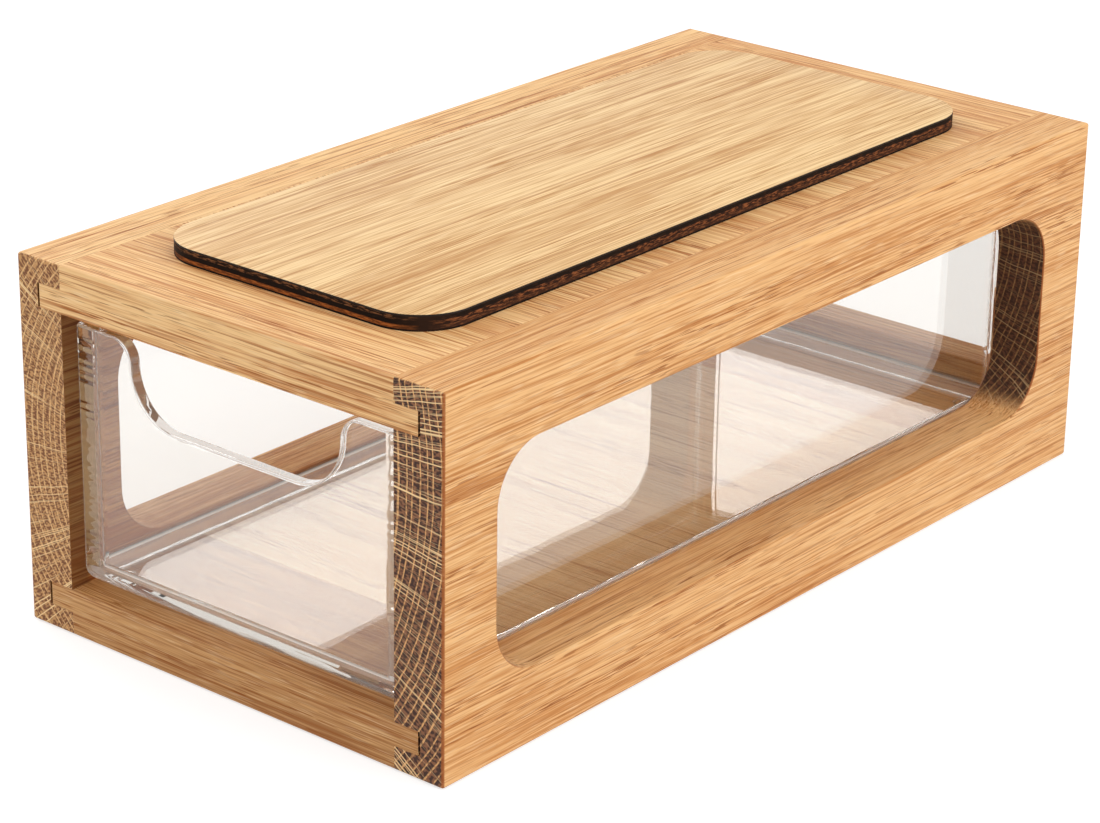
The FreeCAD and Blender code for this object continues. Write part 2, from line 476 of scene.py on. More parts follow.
    def _rings(
        self, tree: bpy.types.NodeTree, radius: bpy.types.NodeSocket
    ) -> bpy.types.NodeSocket:
        """Lay the growth rings, good years and bad.

        Args:
            tree: The material's node tree.
            radius: The distance from the pith.

        Returns:
            Where a place lies in its ring, from 0 to 1.
        """
        count = add_node(
            tree, "ShaderNodeMath", {"operation": "DIVIDE", 1: self.ring_mm}, {0: radius}
        )
        uneven = add_node(
            tree,
            "ShaderNodeTexNoise",
            {"noise_dimensions": "1D", "Scale": self.ring_changes, "Detail": 1.0},
            {"W": count.outputs[0]},
        )
        shifted = add_node(
            tree,
            "ShaderNodeMath",
            {"operation": "MULTIPLY_ADD", 1: self.ring_shift},
            {0: uneven.outputs[0], 2: count.outputs[0]},
        )
        ring = add_node(tree, "ShaderNodeMath", {"operation": "FRACT"}, {0: shifted.outputs[0]})
        return ring.outputs[0]

    def _drawn_outward(
        self, tree: bpy.types.NodeTree, polar: Polar, size_mm: Point
    ) -> bpy.types.NodeSocket:
        """Draw a random figure outward from the pith, as rays are.

        Args:
            tree: The material's node tree.
            polar: The distance from the pith, the angle round it and the place along it.
            size_mm: The size of the figure in those three directions.

        Returns:
            The figure.
        """
        outward_mm, round_mm, along_mm = size_mm
        held_at_mm = math.hypot(*self.pith_mm) + self.PAST_ORIGIN_MM
        scales = (1 / outward_mm, held_at_mm / round_mm, 1 / along_mm)
        parts = {}
        for axis, source, scale in zip("XYZ", polar, scales):
            parts[axis] = add_node(
                tree, "ShaderNodeMath", {"operation": "MULTIPLY", 1: scale}, {0: source}
            ).outputs[0]
        place = add_node(tree, "ShaderNodeCombineXYZ", {}, parts)
        noise = add_node(
            tree,
            "ShaderNodeTexNoise",
            {"Scale": 1.0, "Detail": 0.0},
            {"Vector": place.outputs[0]},
        )
        return noise.outputs[0]

    def _rays(self, tree: bpy.types.NodeTree, polar: Polar) -> bpy.types.NodeSocket:
        """Run the broad rays out from the pith, thick in some bundles and thin in others.

        Args:
            tree: The material's node tree.
            polar: The distance from the pith, the angle round it and the place along it.

        Returns:
            How strongly a ray shows at a place.
        """
        sheets = self._drawn_outward(tree, polar, self.ray_mm)
        strength = add_node(tree, "ShaderNodeMapRange", self.RAYED, {"Value": sheets})
        bundles = self._drawn_outward(tree, polar, self.bundle_mm)
        bundled = add_node(tree, "ShaderNodeMapRange", self.BUNDLED, {"Value": bundles})
        rays = add_node(
            tree,
            "ShaderNodeMath",
            {"operation": "MULTIPLY"},
            {0: strength.outputs["Result"], 1: bundled.outputs["Result"]},
        )
        return rays.outputs[0]

    def _pores(
        self,
        tree: bpy.types.NodeTree,
        timber: bpy.types.NodeSocket,
        rings: bpy.types.NodeSocket,
    ) -> bpy.types.NodeSocket:
        """Crowd the open pores into the spring wood of each ring.

        Args:
            tree: The material's node tree.
            timber: The place in the timber.
            rings: The place in the ring.

        Returns:
            How strongly a pore is cut open at a place.
        """
        vessels = self._drawn_along(tree, timber, self.pore_mm, 0.0).outputs[0]
        cut_open = add_node(tree, "ShaderNodeMapRange", self.CUT_OPEN, {"Value": vessels})
        spring = add_node(tree, "ShaderNodeMapRange", self.SPRING_WOOD, {"Value": rings})
        crowds = self._drawn_along(tree, timber, self.crowd_mm, 1.0).outputs[0]
        crowded = add_node(tree, "ShaderNodeMapRange", self.CROWDED, {"Value": crowds})
        shown = add_node(
            tree,
            "ShaderNodeMath",
            {"operation": "MULTIPLY"},
            {0: spring.outputs["Result"], 1: crowded.outputs["Result"]},
        )
        pores = add_node(
            tree,
            "ShaderNodeMath",
            {"operation": "MULTIPLY"},
            {0: cut_open.outputs["Result"], 1: shown.outputs[0]},
        )
        return pores.outputs[0]

    def _face_colour(
        self,
        tree: bpy.types.NodeTree,
        timber: bpy.types.NodeSocket,
        rings: bpy.types.NodeSocket,
        pores: bpy.types.NodeSocket,
    ) -> bpy.types.NodeSocket:
        """Colour the faces that run with the grain.

        Args:
            tree: The material's node tree.
            timber: The place in the timber.
            rings: The place in the ring.
            pores: How strongly a pore shows.

        Returns:
            The colour.
        """
        figure = self._drawn_along(tree, timber, self.tone_mm, 2.0).outputs[0]
        for size_mm, detail, share in (
            (self.streak_mm, 1.0, self.streak_share),
            (self.fibre_mm, 0.0, self.fibre_share),
        ):
            finer = self._drawn_along(tree, timber, size_mm, detail)
            figure = add_node(
                tree,
                "ShaderNodeMath",
                {"operation": "MULTIPLY_ADD", 1: share},
                {0: finer.outputs[0], 2: figure},
            ).outputs[0]
        warmth = add_node(tree, "ShaderNodeMapRange", self.WARMED, {"Value": figure})
        ground = add_node(
            tree,
            "ShaderNodeMix",
            {
                "data_type": "RGBA",
                MIX_FIRST: linear(self.pale),
                MIX_SECOND: linear(self.warm),
            },
            {MIX_SHARE: warmth.outputs["Result"]},
        )
        flecks = self._drawn_along(tree, timber, self.fleck_mm, 0.0).outputs[0]
        fleck_share = add_node(
            tree,
            "ShaderNodeMapRange",
            {**self.FLECKED, "To Max": self.fleck_depth},
            {"Value": flecks},
        )
        lines = self._drawn_along(tree, timber, self.line_mm, 1.0).outputs[0]
        line_share = add_node(
            tree,
            "ShaderNodeMapRange",
            {**self.LINED, "To Max": self.line_depth},
            {"Value": lines},
        )
        early = add_node(tree, "ShaderNodeMapRange", self.EARLY, {"Value": rings})
        early_lines = add_node(
            tree,
            "ShaderNodeMath",
            {"operation": "MULTIPLY"},
            {0: line_share.outputs["Result"], 1: early.outputs["Result"]},
        )
        pore_share = add_node(
            tree, "ShaderNodeMath", {"operation": "MULTIPLY", 1: self.pore_depth}, {0: pores}
        )
        colour = ground.outputs[BLEND]
        for tint, share in (
            (self.fleck, fleck_share.outputs["Result"]),
            (self.line, early_lines.outputs[0]),
            (self.pore, pore_share.outputs[0]),
        ):
            colour = add_node(
                tree,
                "ShaderNodeMix",
                {"data_type": "RGBA", MIX_SECOND: linear(tint)},
                {MIX_SHARE: share, MIX_FIRST: colour},
            ).outputs[BLEND]
        return colour

    def _end_colour(
        self,
        tree: bpy.types.NodeTree,
        polar: Polar,
        rings: bpy.types.NodeSocket,
        rays: bpy.types.NodeSocket,
    ) -> bpy.types.NodeSocket:
        """Colour the ends, which drink the oil: dark blocks between pale rings and rays.

        Args:
            tree: The material's node tree.
            polar: The distance from the pith, the angle round it and the place along it.
            rings: The place in the ring.
            rays: How strongly a ray shows.

        Returns:
            The colour.
        """
        radius, angle, _ = polar
        # These figures hardly change in their third direction, so the radius serves for it.
        cut = (radius, angle, radius)
        flames = self._drawn_outward(tree, cut, self.flame_mm)
        flamed = add_node(tree, "ShaderNodeMapRange", self.FLAMED, {"Value": flames})
        ground = add_node(
            tree,
            "ShaderNodeMix",
            {
                "data_type": "RGBA",
                MIX_FIRST: linear(self.end_dark),
                MIX_SECOND: linear(self.end_mid),
            },
            {MIX_SHARE: flamed.outputs["Result"]},
        )
        summer = add_node(tree, "ShaderNodeMapRange", self.SUMMER_WOOD, {"Value": rings})
        breaks = self._drawn_outward(tree, cut, self.break_mm)
        broken = add_node(tree, "ShaderNodeMapRange", self.BROKEN, {"Value": breaks})
        ring_share = add_node(
            tree,
            "ShaderNodeMath",
            {"operation": "MULTIPLY"},
            {0: summer.outputs["Result"], 1: broken.outputs["Result"]},
        )
        colour = ground.outputs[BLEND]
        for tint, share in ((self.end_pale, ring_share.outputs[0]), (self.ray, rays)):
            colour = add_node(
                tree,
                "ShaderNodeMix",
                {"data_type": "RGBA", MIX_SECOND: linear(tint)},
                {MIX_SHARE: share, MIX_FIRST: colour},
            ).outputs[BLEND]
        return colour

    def _paint_reveal_shade(
        self,
        tree: bpy.types.NodeTree,
        along: bpy.types.NodeSocket,
        colour: bpy.types.NodeSocket,
    ) -> bpy.types.NodeSocket:
        """Paint shade on the ends inside the window's recess, which lie in shade.

        Args:
            tree: The material's node tree.
            along: The place along the grain, from the panel's middle.
            colour: The colour of the ends.

        Returns:
            The colour, darker within window_reach_mm of the panel's middle.
        """
        away = add_node(tree, "ShaderNodeMath", {"operation": "ABSOLUTE"}, {0: along})
        in_window = add_node(
            tree,
            "ShaderNodeMath",
            {"operation": "LESS_THAN", 1: self.window_reach_mm},
            {0: away.outputs[0]},
        )
        reveal_shade_share = add_node(
            tree,
            "ShaderNodeMath",
            {"operation": "MULTIPLY", 1: self.reveal_shade_depth},
            {0: in_window.outputs[0]},
        )
        reveal_shade = add_node(
            tree,
            "ShaderNodeMix",
            {"data_type": "RGBA", MIX_SECOND: linear(self.reveal_shade)},
            {MIX_SHARE: reveal_shade_share.outputs[0], MIX_FIRST: colour},
        )
        return reveal_shade.outputs[BLEND]

    def _where(
        self, tree: bpy.types.NodeTree, normal: bpy.types.NodeSocket
    ) -> tuple[bpy.types.NodeSocket, bpy.types.NodeSocket]:
        """Find the ends and the rounded arrises from the way the surface faces.

        Args:
            tree: The material's node tree.
            normal: The surface's normal in the piece's own axes.

        Returns:
            How much a place is end grain, and how much it is a rounded arris.
        """
        size = add_node(tree, "ShaderNodeVectorMath", {"operation": "ABSOLUTE"}, {0: normal})
        axes = add_node(tree, "ShaderNodeSeparateXYZ", {}, {0: size.outputs[0]})
        sideways, forward = axes.outputs["X"], axes.outputs["Y"]
        fibres = axes.outputs[self.grain.value]
        ends = add_node(tree, "ShaderNodeMapRange", self.END_GRAIN, {"Value": fibres})
        squarest = add_node(
            tree, "ShaderNodeMath", {"operation": "MAXIMUM"}, {0: sideways, 1: forward}
        )
        squarest = add_node(
            tree,
            "ShaderNodeMath",
            {"operation": "MAXIMUM"},
            {0: squarest.outputs[0], 1: axes.outputs["Z"]},
        )
        arris = add_node(
            tree,
            "ShaderNodeMapRange",
            {**self.ROUNDED, "To Max": self.arris_depth},
            {"Value": squarest.outputs[0]},
        ).outputs["Result"]
        if self.grain is Grain.FRONT_TO_BACK:
            # The upright arrises border the end grain and soak up its oil. The rounds of a
            # window face between up and back, so they stay as they are.
            corner = add_node(
                tree, "ShaderNodeMath", {"operation": "MULTIPLY"}, {0: sideways, 1: forward}
            )
            upright = add_node(
                tree, "ShaderNodeMapRange", self.UPRIGHT, {"Value": corner.outputs[0]}
            )
            arris = add_node(
                tree,
                "ShaderNodeMath",
                {"operation": "MULTIPLY"},
                {0: arris, 1: upright.outputs["Result"]},
            ).outputs[0]
        return ends.outputs["Result"], arris

    def _paint_inner_face_shade(
        self,
        tree: bpy.types.NodeTree,
        normal: bpy.types.NodeSocket,
        along: bpy.types.NodeSocket,
        colour: bpy.types.NodeSocket,
    ) -> bpy.types.NodeSocket:
        """Paint shade on the face towards the drawer, which lies inside the case.

        Next to the panel's ends the painted shade is deepest, as in the recess in front of the
        drawer.

        Args:
            tree: The material's node tree.
            normal: The surface's normal in the piece's own axes.
            along: The place along the grain, from the panel's middle.
            colour: The colour of the wood.

        Returns:
            The colour with that face darkened.
        """
        inward = add_node(
            tree,
            "ShaderNodeVectorMath",
            {"operation": "DOT_PRODUCT", 1: (self.inward, 0.0, 0.0)},
            {0: normal},
        )
        on_face = add_node(
            tree, "ShaderNodeMapRange", self.INWARD, {"Value": inward.outputs["Value"]}
        ).outputs["Result"]
        away = add_node(tree, "ShaderNodeMath", {"operation": "ABSOLUTE"}, {0: along})
        near_end = add_node(
            tree,
            "ShaderNodeMapRange",
            {
                "From Min": self.window_reach_mm,
                "From Max": self.window_reach_mm + self.shade_fade_mm,
            },
            {"Value": away.outputs[0]},
        )
        in_band = add_node(
            tree,
            "ShaderNodeMath",
            {"operation": "MULTIPLY"},
            {0: on_face, 1: near_end.outputs["Result"]},
        )
        for tone, share in (
            (self.inner_face_shade, on_face),
            (self.end_recess_shade, in_band.outputs[0]),
        ):
            colour = add_node(
                tree,
                "ShaderNodeMix",
                {"data_type": "RGBA", "blend_type": "MULTIPLY", MIX_SECOND: linear(tone)},
                {MIX_SHARE: share, MIX_FIRST: colour},
            ).outputs[BLEND]
        return colour

    def _scorch(
        self,
        tree: bpy.types.NodeTree,
        normal: bpy.types.NodeSocket,
        colour: bpy.types.NodeSocket,
    ) -> bpy.types.NodeSocket:
        """Blacken the edge that a laser cut.

        Args:
            tree: The material's node tree.
            normal: The surface's normal in the piece's own axes.
            colour: The colour of the wood.

        Returns:
            The colour with the edge blackened.
        """
        axes = add_node(tree, "ShaderNodeSeparateXYZ", {}, {0: normal})
        cut = add_node(
            tree, "ShaderNodeMapRange", self.LASER_CUT, {"Value": axes.outputs["Z"]}
        )
        burnt = add_node(
            tree,
            "ShaderNodeMix",
            {"data_type": "RGBA", MIX_SECOND: linear(self.scorched)},
            {MIX_SHARE: cut.outputs["Result"], MIX_FIRST: colour},
        )
        return burnt.outputs[BLEND]


@dataclass(frozen=True)
class ScorchedEdge:
    """Two browns that a laser leaves on an edge, and how much of the paler one shows."""

    burnt: str
    brown: str
    share: float = 0.5


@dataclass(frozen=True)
class LaserCutPly:
    """One ply of thin birch plywood, cut out by a laser.

    The cut edge is charred matt. Where the fibres lie along the edge it stays brown in
    patches, where they end on it it is black, and the slow turns of the corners are darkest.
    """

    # Settings of a Map Range node: from where to where an edge turns square to an axis.
    SQUARE: ClassVar[Settings] = {"From Min": 0.75, "From Max": 0.99}

    name: str
    front: ScorchedEdge
    side: ScorchedEdge
    corner: str = "#2b1b13"
    face: str = "#7a5535"
    # Brown patches: their size along the edge and up it, the span of their figure in which
    # they come in, and by how much the paler brown's share lowers that span.
    patch_mm: Pair = (3.0, 0.5)
    patch_span: Pair = (0.72, 0.86)
    patch_drop: float = 0.4
    # Char keeps about the IOR of the wood, but its crumbly surface has hardly any gloss.
    ior: float = 1.45
    gloss: float = 0.12
    roughness: float = 0.72
    relief: float = 0.6
    relief_mm: float = 0.2

    def build(self) -> bpy.types.Material:
        """Build the node material.

        Returns:
            The finished material.
        """
        material, tree = new_material(self.name)
        coords = add_node(tree, "ShaderNodeTexCoord", {}, {})
        level, upright = (1 / (size * MM) for size in self.patch_mm)
        streaks = add_node(
            tree,
            "ShaderNodeMapping",
            {"Scale": (level, level, upright)},
            {"Vector": coords.outputs["Object"]},
        )
        scorch = add_node(
            tree,
            "ShaderNodeTexNoise",
            {"Scale": 1.0, "Detail": 3.0, "Roughness": 0.6},
            {"Vector": streaks.outputs[0]},
        )
        facing = add_node(
            tree,
            "ShaderNodeVectorMath",
            {"operation": "ABSOLUTE"},
            {0: coords.outputs["Normal"]},
        )
        axes = add_node(tree, "ShaderNodeSeparateXYZ", {}, {0: facing.outputs[0]})
        corner = add_node(tree, "ShaderNodeRGB", {}, {})
        corner.outputs[0].default_value = linear(self.corner)
        colour = corner.outputs[0]
        for axis, edge in (("X", self.side), ("Y", self.front)):
            start, end = (value - self.patch_drop * edge.share for value in self.patch_span)
            amount = add_node(
                tree,
                "ShaderNodeMapRange",
                {"From Min": start, "From Max": end},
                {"Value": scorch.outputs[0]},
            )
            browned = add_node(
                tree,
                "ShaderNodeMix",
                {
                    "data_type": "RGBA",
                    MIX_FIRST: linear(edge.burnt),
                    MIX_SECOND: linear(edge.brown),
                },
                {MIX_SHARE: amount.outputs["Result"]},
            )
            square = add_node(
                tree, "ShaderNodeMapRange", self.SQUARE, {"Value": axes.outputs[axis]}
            )
            colour = add_node(
                tree,
                "ShaderNodeMix",
                {"data_type": "RGBA"},
                {
                    MIX_SHARE: square.outputs["Result"],
                    MIX_FIRST: colour,
                    MIX_SECOND: browned.outputs[BLEND],
                },
            ).outputs[BLEND]
        faced = add_node(
            tree,
            "ShaderNodeMix",
            {"data_type": "RGBA", MIX_SECOND: linear(self.face)},
            {MIX_SHARE: axes.outputs["Z"], MIX_FIRST: colour},
        )
        bump = add_node(
            tree,
            "ShaderNodeBump",
            {"Strength": self.relief, "Distance": self.relief_mm * MM},
            {"Height": scorch.outputs[0]},
        )
        surface = add_node(
            tree,
            "ShaderNodeBsdfPrincipled",
            {
                "IOR": self.ior,
                "Metallic": 0.0,
                "Roughness": self.roughness,
                "Specular IOR Level": self.gloss,
            },
            {"Base Color": faced.outputs[BLEND], "Normal": bump.outputs["Normal"]},
        )
        add_node(tree, "ShaderNodeOutputMaterial", {}, {"Surface": surface.outputs["BSDF"]})
        return material


@dataclass(frozen=True)
class ClearStyrene:
    """Polystyrene, injection moulded in a polished tool.

    It is clear as glass and has the slight waves of moulded walls. Its rounds, and its front
    where the left wall stands behind it, have finer ripples. The rounds look milky, as light
    that runs inside the walls comes out there, and a wall seen along its depth is a warm
    grey. It lets light through to the wood without a shadow. Light that has been turned back
    more than a few times goes straight on, so that no round shows black.
    """

    # Settings of Map Range nodes: where on a round it grows milky, and what faces forward.
    ROUND: ClassVar[Settings] = {"From Min": 0.15, "From Max": 0.6}
    FORWARD: ClassVar[Settings] = {"From Min": -0.7, "From Max": -0.95}

    name: str = "clear moulded polystyrene"
    tint: str = "#fcfbf9"
    ior: float = 1.59
    roughness: float = 0.006
    # The waves' size, the ripples' size level and upright, how high the ripples stand, and
    # the waves' height as a share of that.
    wave_mm: float = 30.0
    ripple_mm: Pair = (12.0, 2.0)
    relief_mm: float = 0.6
    wave_share: float = 0.06
    # From where to where along X the front's ripples come in, towards the left wall.
    rippled_mm: Pair = (-55.0, -56.5)
    # How milky the flats and the rounds are, from 0 to 1.
    haze: float = 0.003
    round_haze: float = 0.2
    # Light that has been turned back more often than this goes straight on.
    bounces: float = 2.5
    # The colour that depth gives the plastic, and how strongly, to the metre.
    depth_colour: str = "#b6aca0"
    depth_density: float = 9.0

    def build(self) -> bpy.types.Material:
        """Build the node material.

        Returns:
            The finished material.
        """
        material, tree = new_material(self.name)
        coords = add_node(tree, "ShaderNodeTexCoord", {}, {})
        any_round = self._rounds(tree, coords.outputs["Normal"])
        relief = self._relief(tree, coords, any_round)
        bump = add_node(
            tree,
            "ShaderNodeBump",
            {"Strength": 1.0, "Distance": self.relief_mm * MM},
            {"Height": relief},
        )
        plastic = add_node(
            tree,
            "ShaderNodeBsdfPrincipled",
            {
                "Base Color": linear(self.tint),
                "IOR": self.ior,
                "Roughness": self.roughness,
                "Transmission Weight": 1.0,
            },
            {"Normal": bump.outputs["Normal"]},
        )
        milk = add_node(
            tree, "ShaderNodeBsdfDiffuse", {"Color": linear(self.tint), "Roughness": 0.0}, {}
        )
        haze = add_node(
            tree,
            "ShaderNodeMapRange",
            {**self.ROUND, "To Min": self.haze, "To Max": self.round_haze},
            {"Value": any_round},
        )
        moulded = add_node(
            tree,
            "ShaderNodeMixShader",
            {},
            {0: haze.outputs["Result"], 1: plastic.outputs["BSDF"], 2: milk.outputs["BSDF"]},
        )
        clear = add_node(tree, "ShaderNodeBsdfTransparent", {"Color": linear(self.tint)}, {})
        through = add_node(
            tree,
            "ShaderNodeMixShader",
            {},
            {
                0: self._straight_on(tree),
                1: moulded.outputs["Shader"],
                2: clear.outputs["BSDF"],
            },
        )
        depth = add_node(
            tree,
            "ShaderNodeVolumeAbsorption",
            {"Color": linear(self.depth_colour), "Density": self.depth_density},
            {},
        )
        add_node(
            tree,
            "ShaderNodeOutputMaterial",
            {},
            {"Surface": through.outputs["Shader"], "Volume": depth.outputs["Volume"]},
        )
        return material

    def _relief(
        self,
        tree: bpy.types.NodeTree,
        coords: bpy.types.Node,
        any_round: bpy.types.NodeSocket,
    ) -> bpy.types.NodeSocket:
        """Raise the waves of the walls and the ripples.

        Args:
            tree: The material's node tree.
            coords: The texture coordinates.
            any_round: How far a place is on a round.

        Returns:
            How high the surface stands, from 0 to 1.
        """
        waves = add_node(
            tree,
            "ShaderNodeTexNoise",
            {"Scale": 1 / (self.wave_mm * MM), "Detail": 1.0},
            {"Vector": coords.outputs["Object"]},
        )
        level, upright = (1 / (size * MM) for size in self.ripple_mm)
        drawn_level = add_node(
            tree,
            "ShaderNodeMapping",
            {"Scale": (level, level, upright)},
            {"Vector": coords.outputs["Object"]},
        )
        ripples = add_node(
            tree,
            "ShaderNodeTexNoise",
            {"Scale": 1.0, "Detail": 0.0},
            {"Vector": drawn_level.outputs[0]},
        )
        rippled = add_node(
            tree,
            "ShaderNodeMath",
            {"operation": "MULTIPLY"},
            {0: ripples.outputs[0], 1: self._rippled_places(tree, coords, any_round)},
        )
        relief = add_node(
            tree,
            "ShaderNodeMath",
            {"operation": "MULTIPLY_ADD", 1: self.wave_share},
            {0: waves.outputs[0], 2: rippled.outputs[0]},
        )
        return relief.outputs[0]

    def _straight_on(self, tree: bpy.types.NodeTree) -> bpy.types.NodeSocket:
        """Find the light that goes straight through: what lights the wood, and trapped light.

        Args:
            tree: The material's node tree.

        Returns:
            1 for such light, otherwise 0.
        """
        path = add_node(tree, "ShaderNodeLightPath", {}, {})
        lighting = add_node(
            tree,
            "ShaderNodeMath",
            {"operation": "MAXIMUM"},
            {0: path.outputs["Is Shadow Ray"], 1: path.outputs["Is Diffuse Ray"]},
        )
        trapped = add_node(
            tree,
            "ShaderNodeMath",
            {"operation": "GREATER_THAN", 1: self.bounces},
            {0: path.outputs["Glossy Depth"]},
        )
        either = add_node(
            tree,
            "ShaderNodeMath",
            {"operation": "MAXIMUM"},
            {0: lighting.outputs[0], 1: trapped.outputs[0]},
        )
        return either.outputs[0]

    def _rounds(
        self, tree: bpy.types.NodeTree, normal: bpy.types.NodeSocket
    ) -> bpy.types.NodeSocket:
        """Find the rounds of the base and of the corners from the way the surface faces.

        Args:
            tree: The material's node tree.
            normal: The surface's normal in the piece's own axes.

        Returns:
            How far a place is on a round, from 0 on a flat to 1 halfway round.
        """
        size = add_node(tree, "ShaderNodeVectorMath", {"operation": "ABSOLUTE"}, {0: normal})
        axes = add_node(tree, "ShaderNodeSeparateXYZ", {}, {0: size.outputs[0]})
        level = add_node(
            tree,
            "ShaderNodeVectorMath",
            {"operation": "MULTIPLY", 1: (1.0, 1.0, 0.0)},
            {0: size.outputs[0]},
        )
        upright = add_node(
            tree, "ShaderNodeVectorMath", {"operation": "LENGTH"}, {0: level.outputs[0]}
        )
        turns = []
        for one, other in (
            (axes.outputs["Z"], upright.outputs["Value"]),
            (axes.outputs["X"], axes.outputs["Y"]),
        ):
            product = add_node(
                tree, "ShaderNodeMath", {"operation": "MULTIPLY"}, {0: one, 1: other}
            )
            # Halfway round, each of the two is the root of a half.
            turn = add_node(
                tree,
                "ShaderNodeMath",
                {"operation": "MULTIPLY", 1: 2.0},
                {0: product.outputs[0]},
            )
            turns.append(turn.outputs[0])
        either = add_node(
            tree, "ShaderNodeMath", {"operation": "MAXIMUM"}, {0: turns[0], 1: turns[1]}
        )
        return either.outputs[0]

    def _rippled_places(
        self,
        tree: bpy.types.NodeTree,
        coords: bpy.types.Node,
        any_round: bpy.types.NodeSocket,
    ) -> bpy.types.NodeSocket:
        """Find where moulding leaves ripples: on rounds, and in front of the left wall.

        Args:
            tree: The material's node tree.
            coords: The texture coordinates.
            any_round: How far a place is on a round.

        Returns:
            How strong the ripples are.
        """
        place = add_node(tree, "ShaderNodeSeparateXYZ", {}, {0: coords.outputs["Object"]})
        facing = add_node(tree, "ShaderNodeSeparateXYZ", {}, {0: coords.outputs["Normal"]})
        start, end = (edge * MM for edge in self.rippled_mm)
        left = add_node(
            tree,
            "ShaderNodeMapRange",
            {"From Min": start, "From Max": end},
            {"Value": place.outputs["X"]},
        )
        forward = add_node(
            tree, "ShaderNodeMapRange", self.FORWARD, {"Value": facing.outputs["Y"]}
        )
        front = add_node(
            tree,
            "ShaderNodeMath",
            {"operation": "MULTIPLY"},
            {0: left.outputs["Result"], 1: forward.outputs["Result"]},
        )
        either = add_node(
            tree, "ShaderNodeMath", {"operation": "MAXIMUM"}, {0: any_round, 1: front.outputs[0]}
        )
        return either.outputs[0]


@dataclass(frozen=True)
class StudioPaper:
    """Matt white paper, which takes the box's shadow and otherwise shows as white.

    It shows as plain white far from the box, so that it runs into the surround unseen.
    """

    name: str = "white studio paper"
    # The white that lights the box, and the grey that is lifted to white where it is seen.
    colour: str = "#f2f2f2"
    seen_colour: str = "#b4b4b4"
    lift: float = 0.66
    # From how far to how far from the box's middle the lift grows to plain white.
    far: Pair = (0.7, 1.8)

    def build(self) -> bpy.types.Material:
        """Build the node material.

        Returns:
            The finished material.
        """
        material, tree = new_material(self.name)
        seen = seen_rays(tree)
        colour = add_node(
            tree,
            "ShaderNodeMix",
            {
                "data_type": "RGBA",
                MIX_FIRST: linear(self.colour),
                MIX_SECOND: linear(self.seen_colour),
            },
            {MIX_SHARE: seen},
        )
        paper = add_node(
            tree, "ShaderNodeBsdfDiffuse", {"Roughness": 0.0}, {"Color": colour.outputs[BLEND]}
        )
        coords = add_node(tree, "ShaderNodeTexCoord", {}, {})
        away = add_node(
            tree,
            "ShaderNodeVectorMath",
            {"operation": "LENGTH"},
            {0: coords.outputs["Object"]},
        )
        near, far = self.far
        level = add_node(
            tree,
            "ShaderNodeMapRange",
            {"From Min": near, "From Max": far, "To Min": self.lift, "To Max": 1.0},
            {"Value": away.outputs["Value"]},
        )
        strength = add_node(
            tree,
            "ShaderNodeMath",
            {"operation": "MULTIPLY"},
            {0: seen, 1: level.outputs["Result"]},
        )
        glow = add_node(tree, "ShaderNodeEmission", {}, {"Strength": strength.outputs[0]})
        both = add_node(
            tree,
            "ShaderNodeAddShader",
            {},
            {0: paper.outputs["BSDF"], 1: glow.outputs["Emission"]},
        )
        add_node(tree, "ShaderNodeOutputMaterial", {}, {"Surface": both.outputs["Shader"]})
        return material


# --- The case ----------------------------------------------------------------------------


class Board(Enum):
    """A board glued up from staves, by the start of its nodes' names."""

    TOP = "top_stave"
    BOTTOM = "bottom_stave"


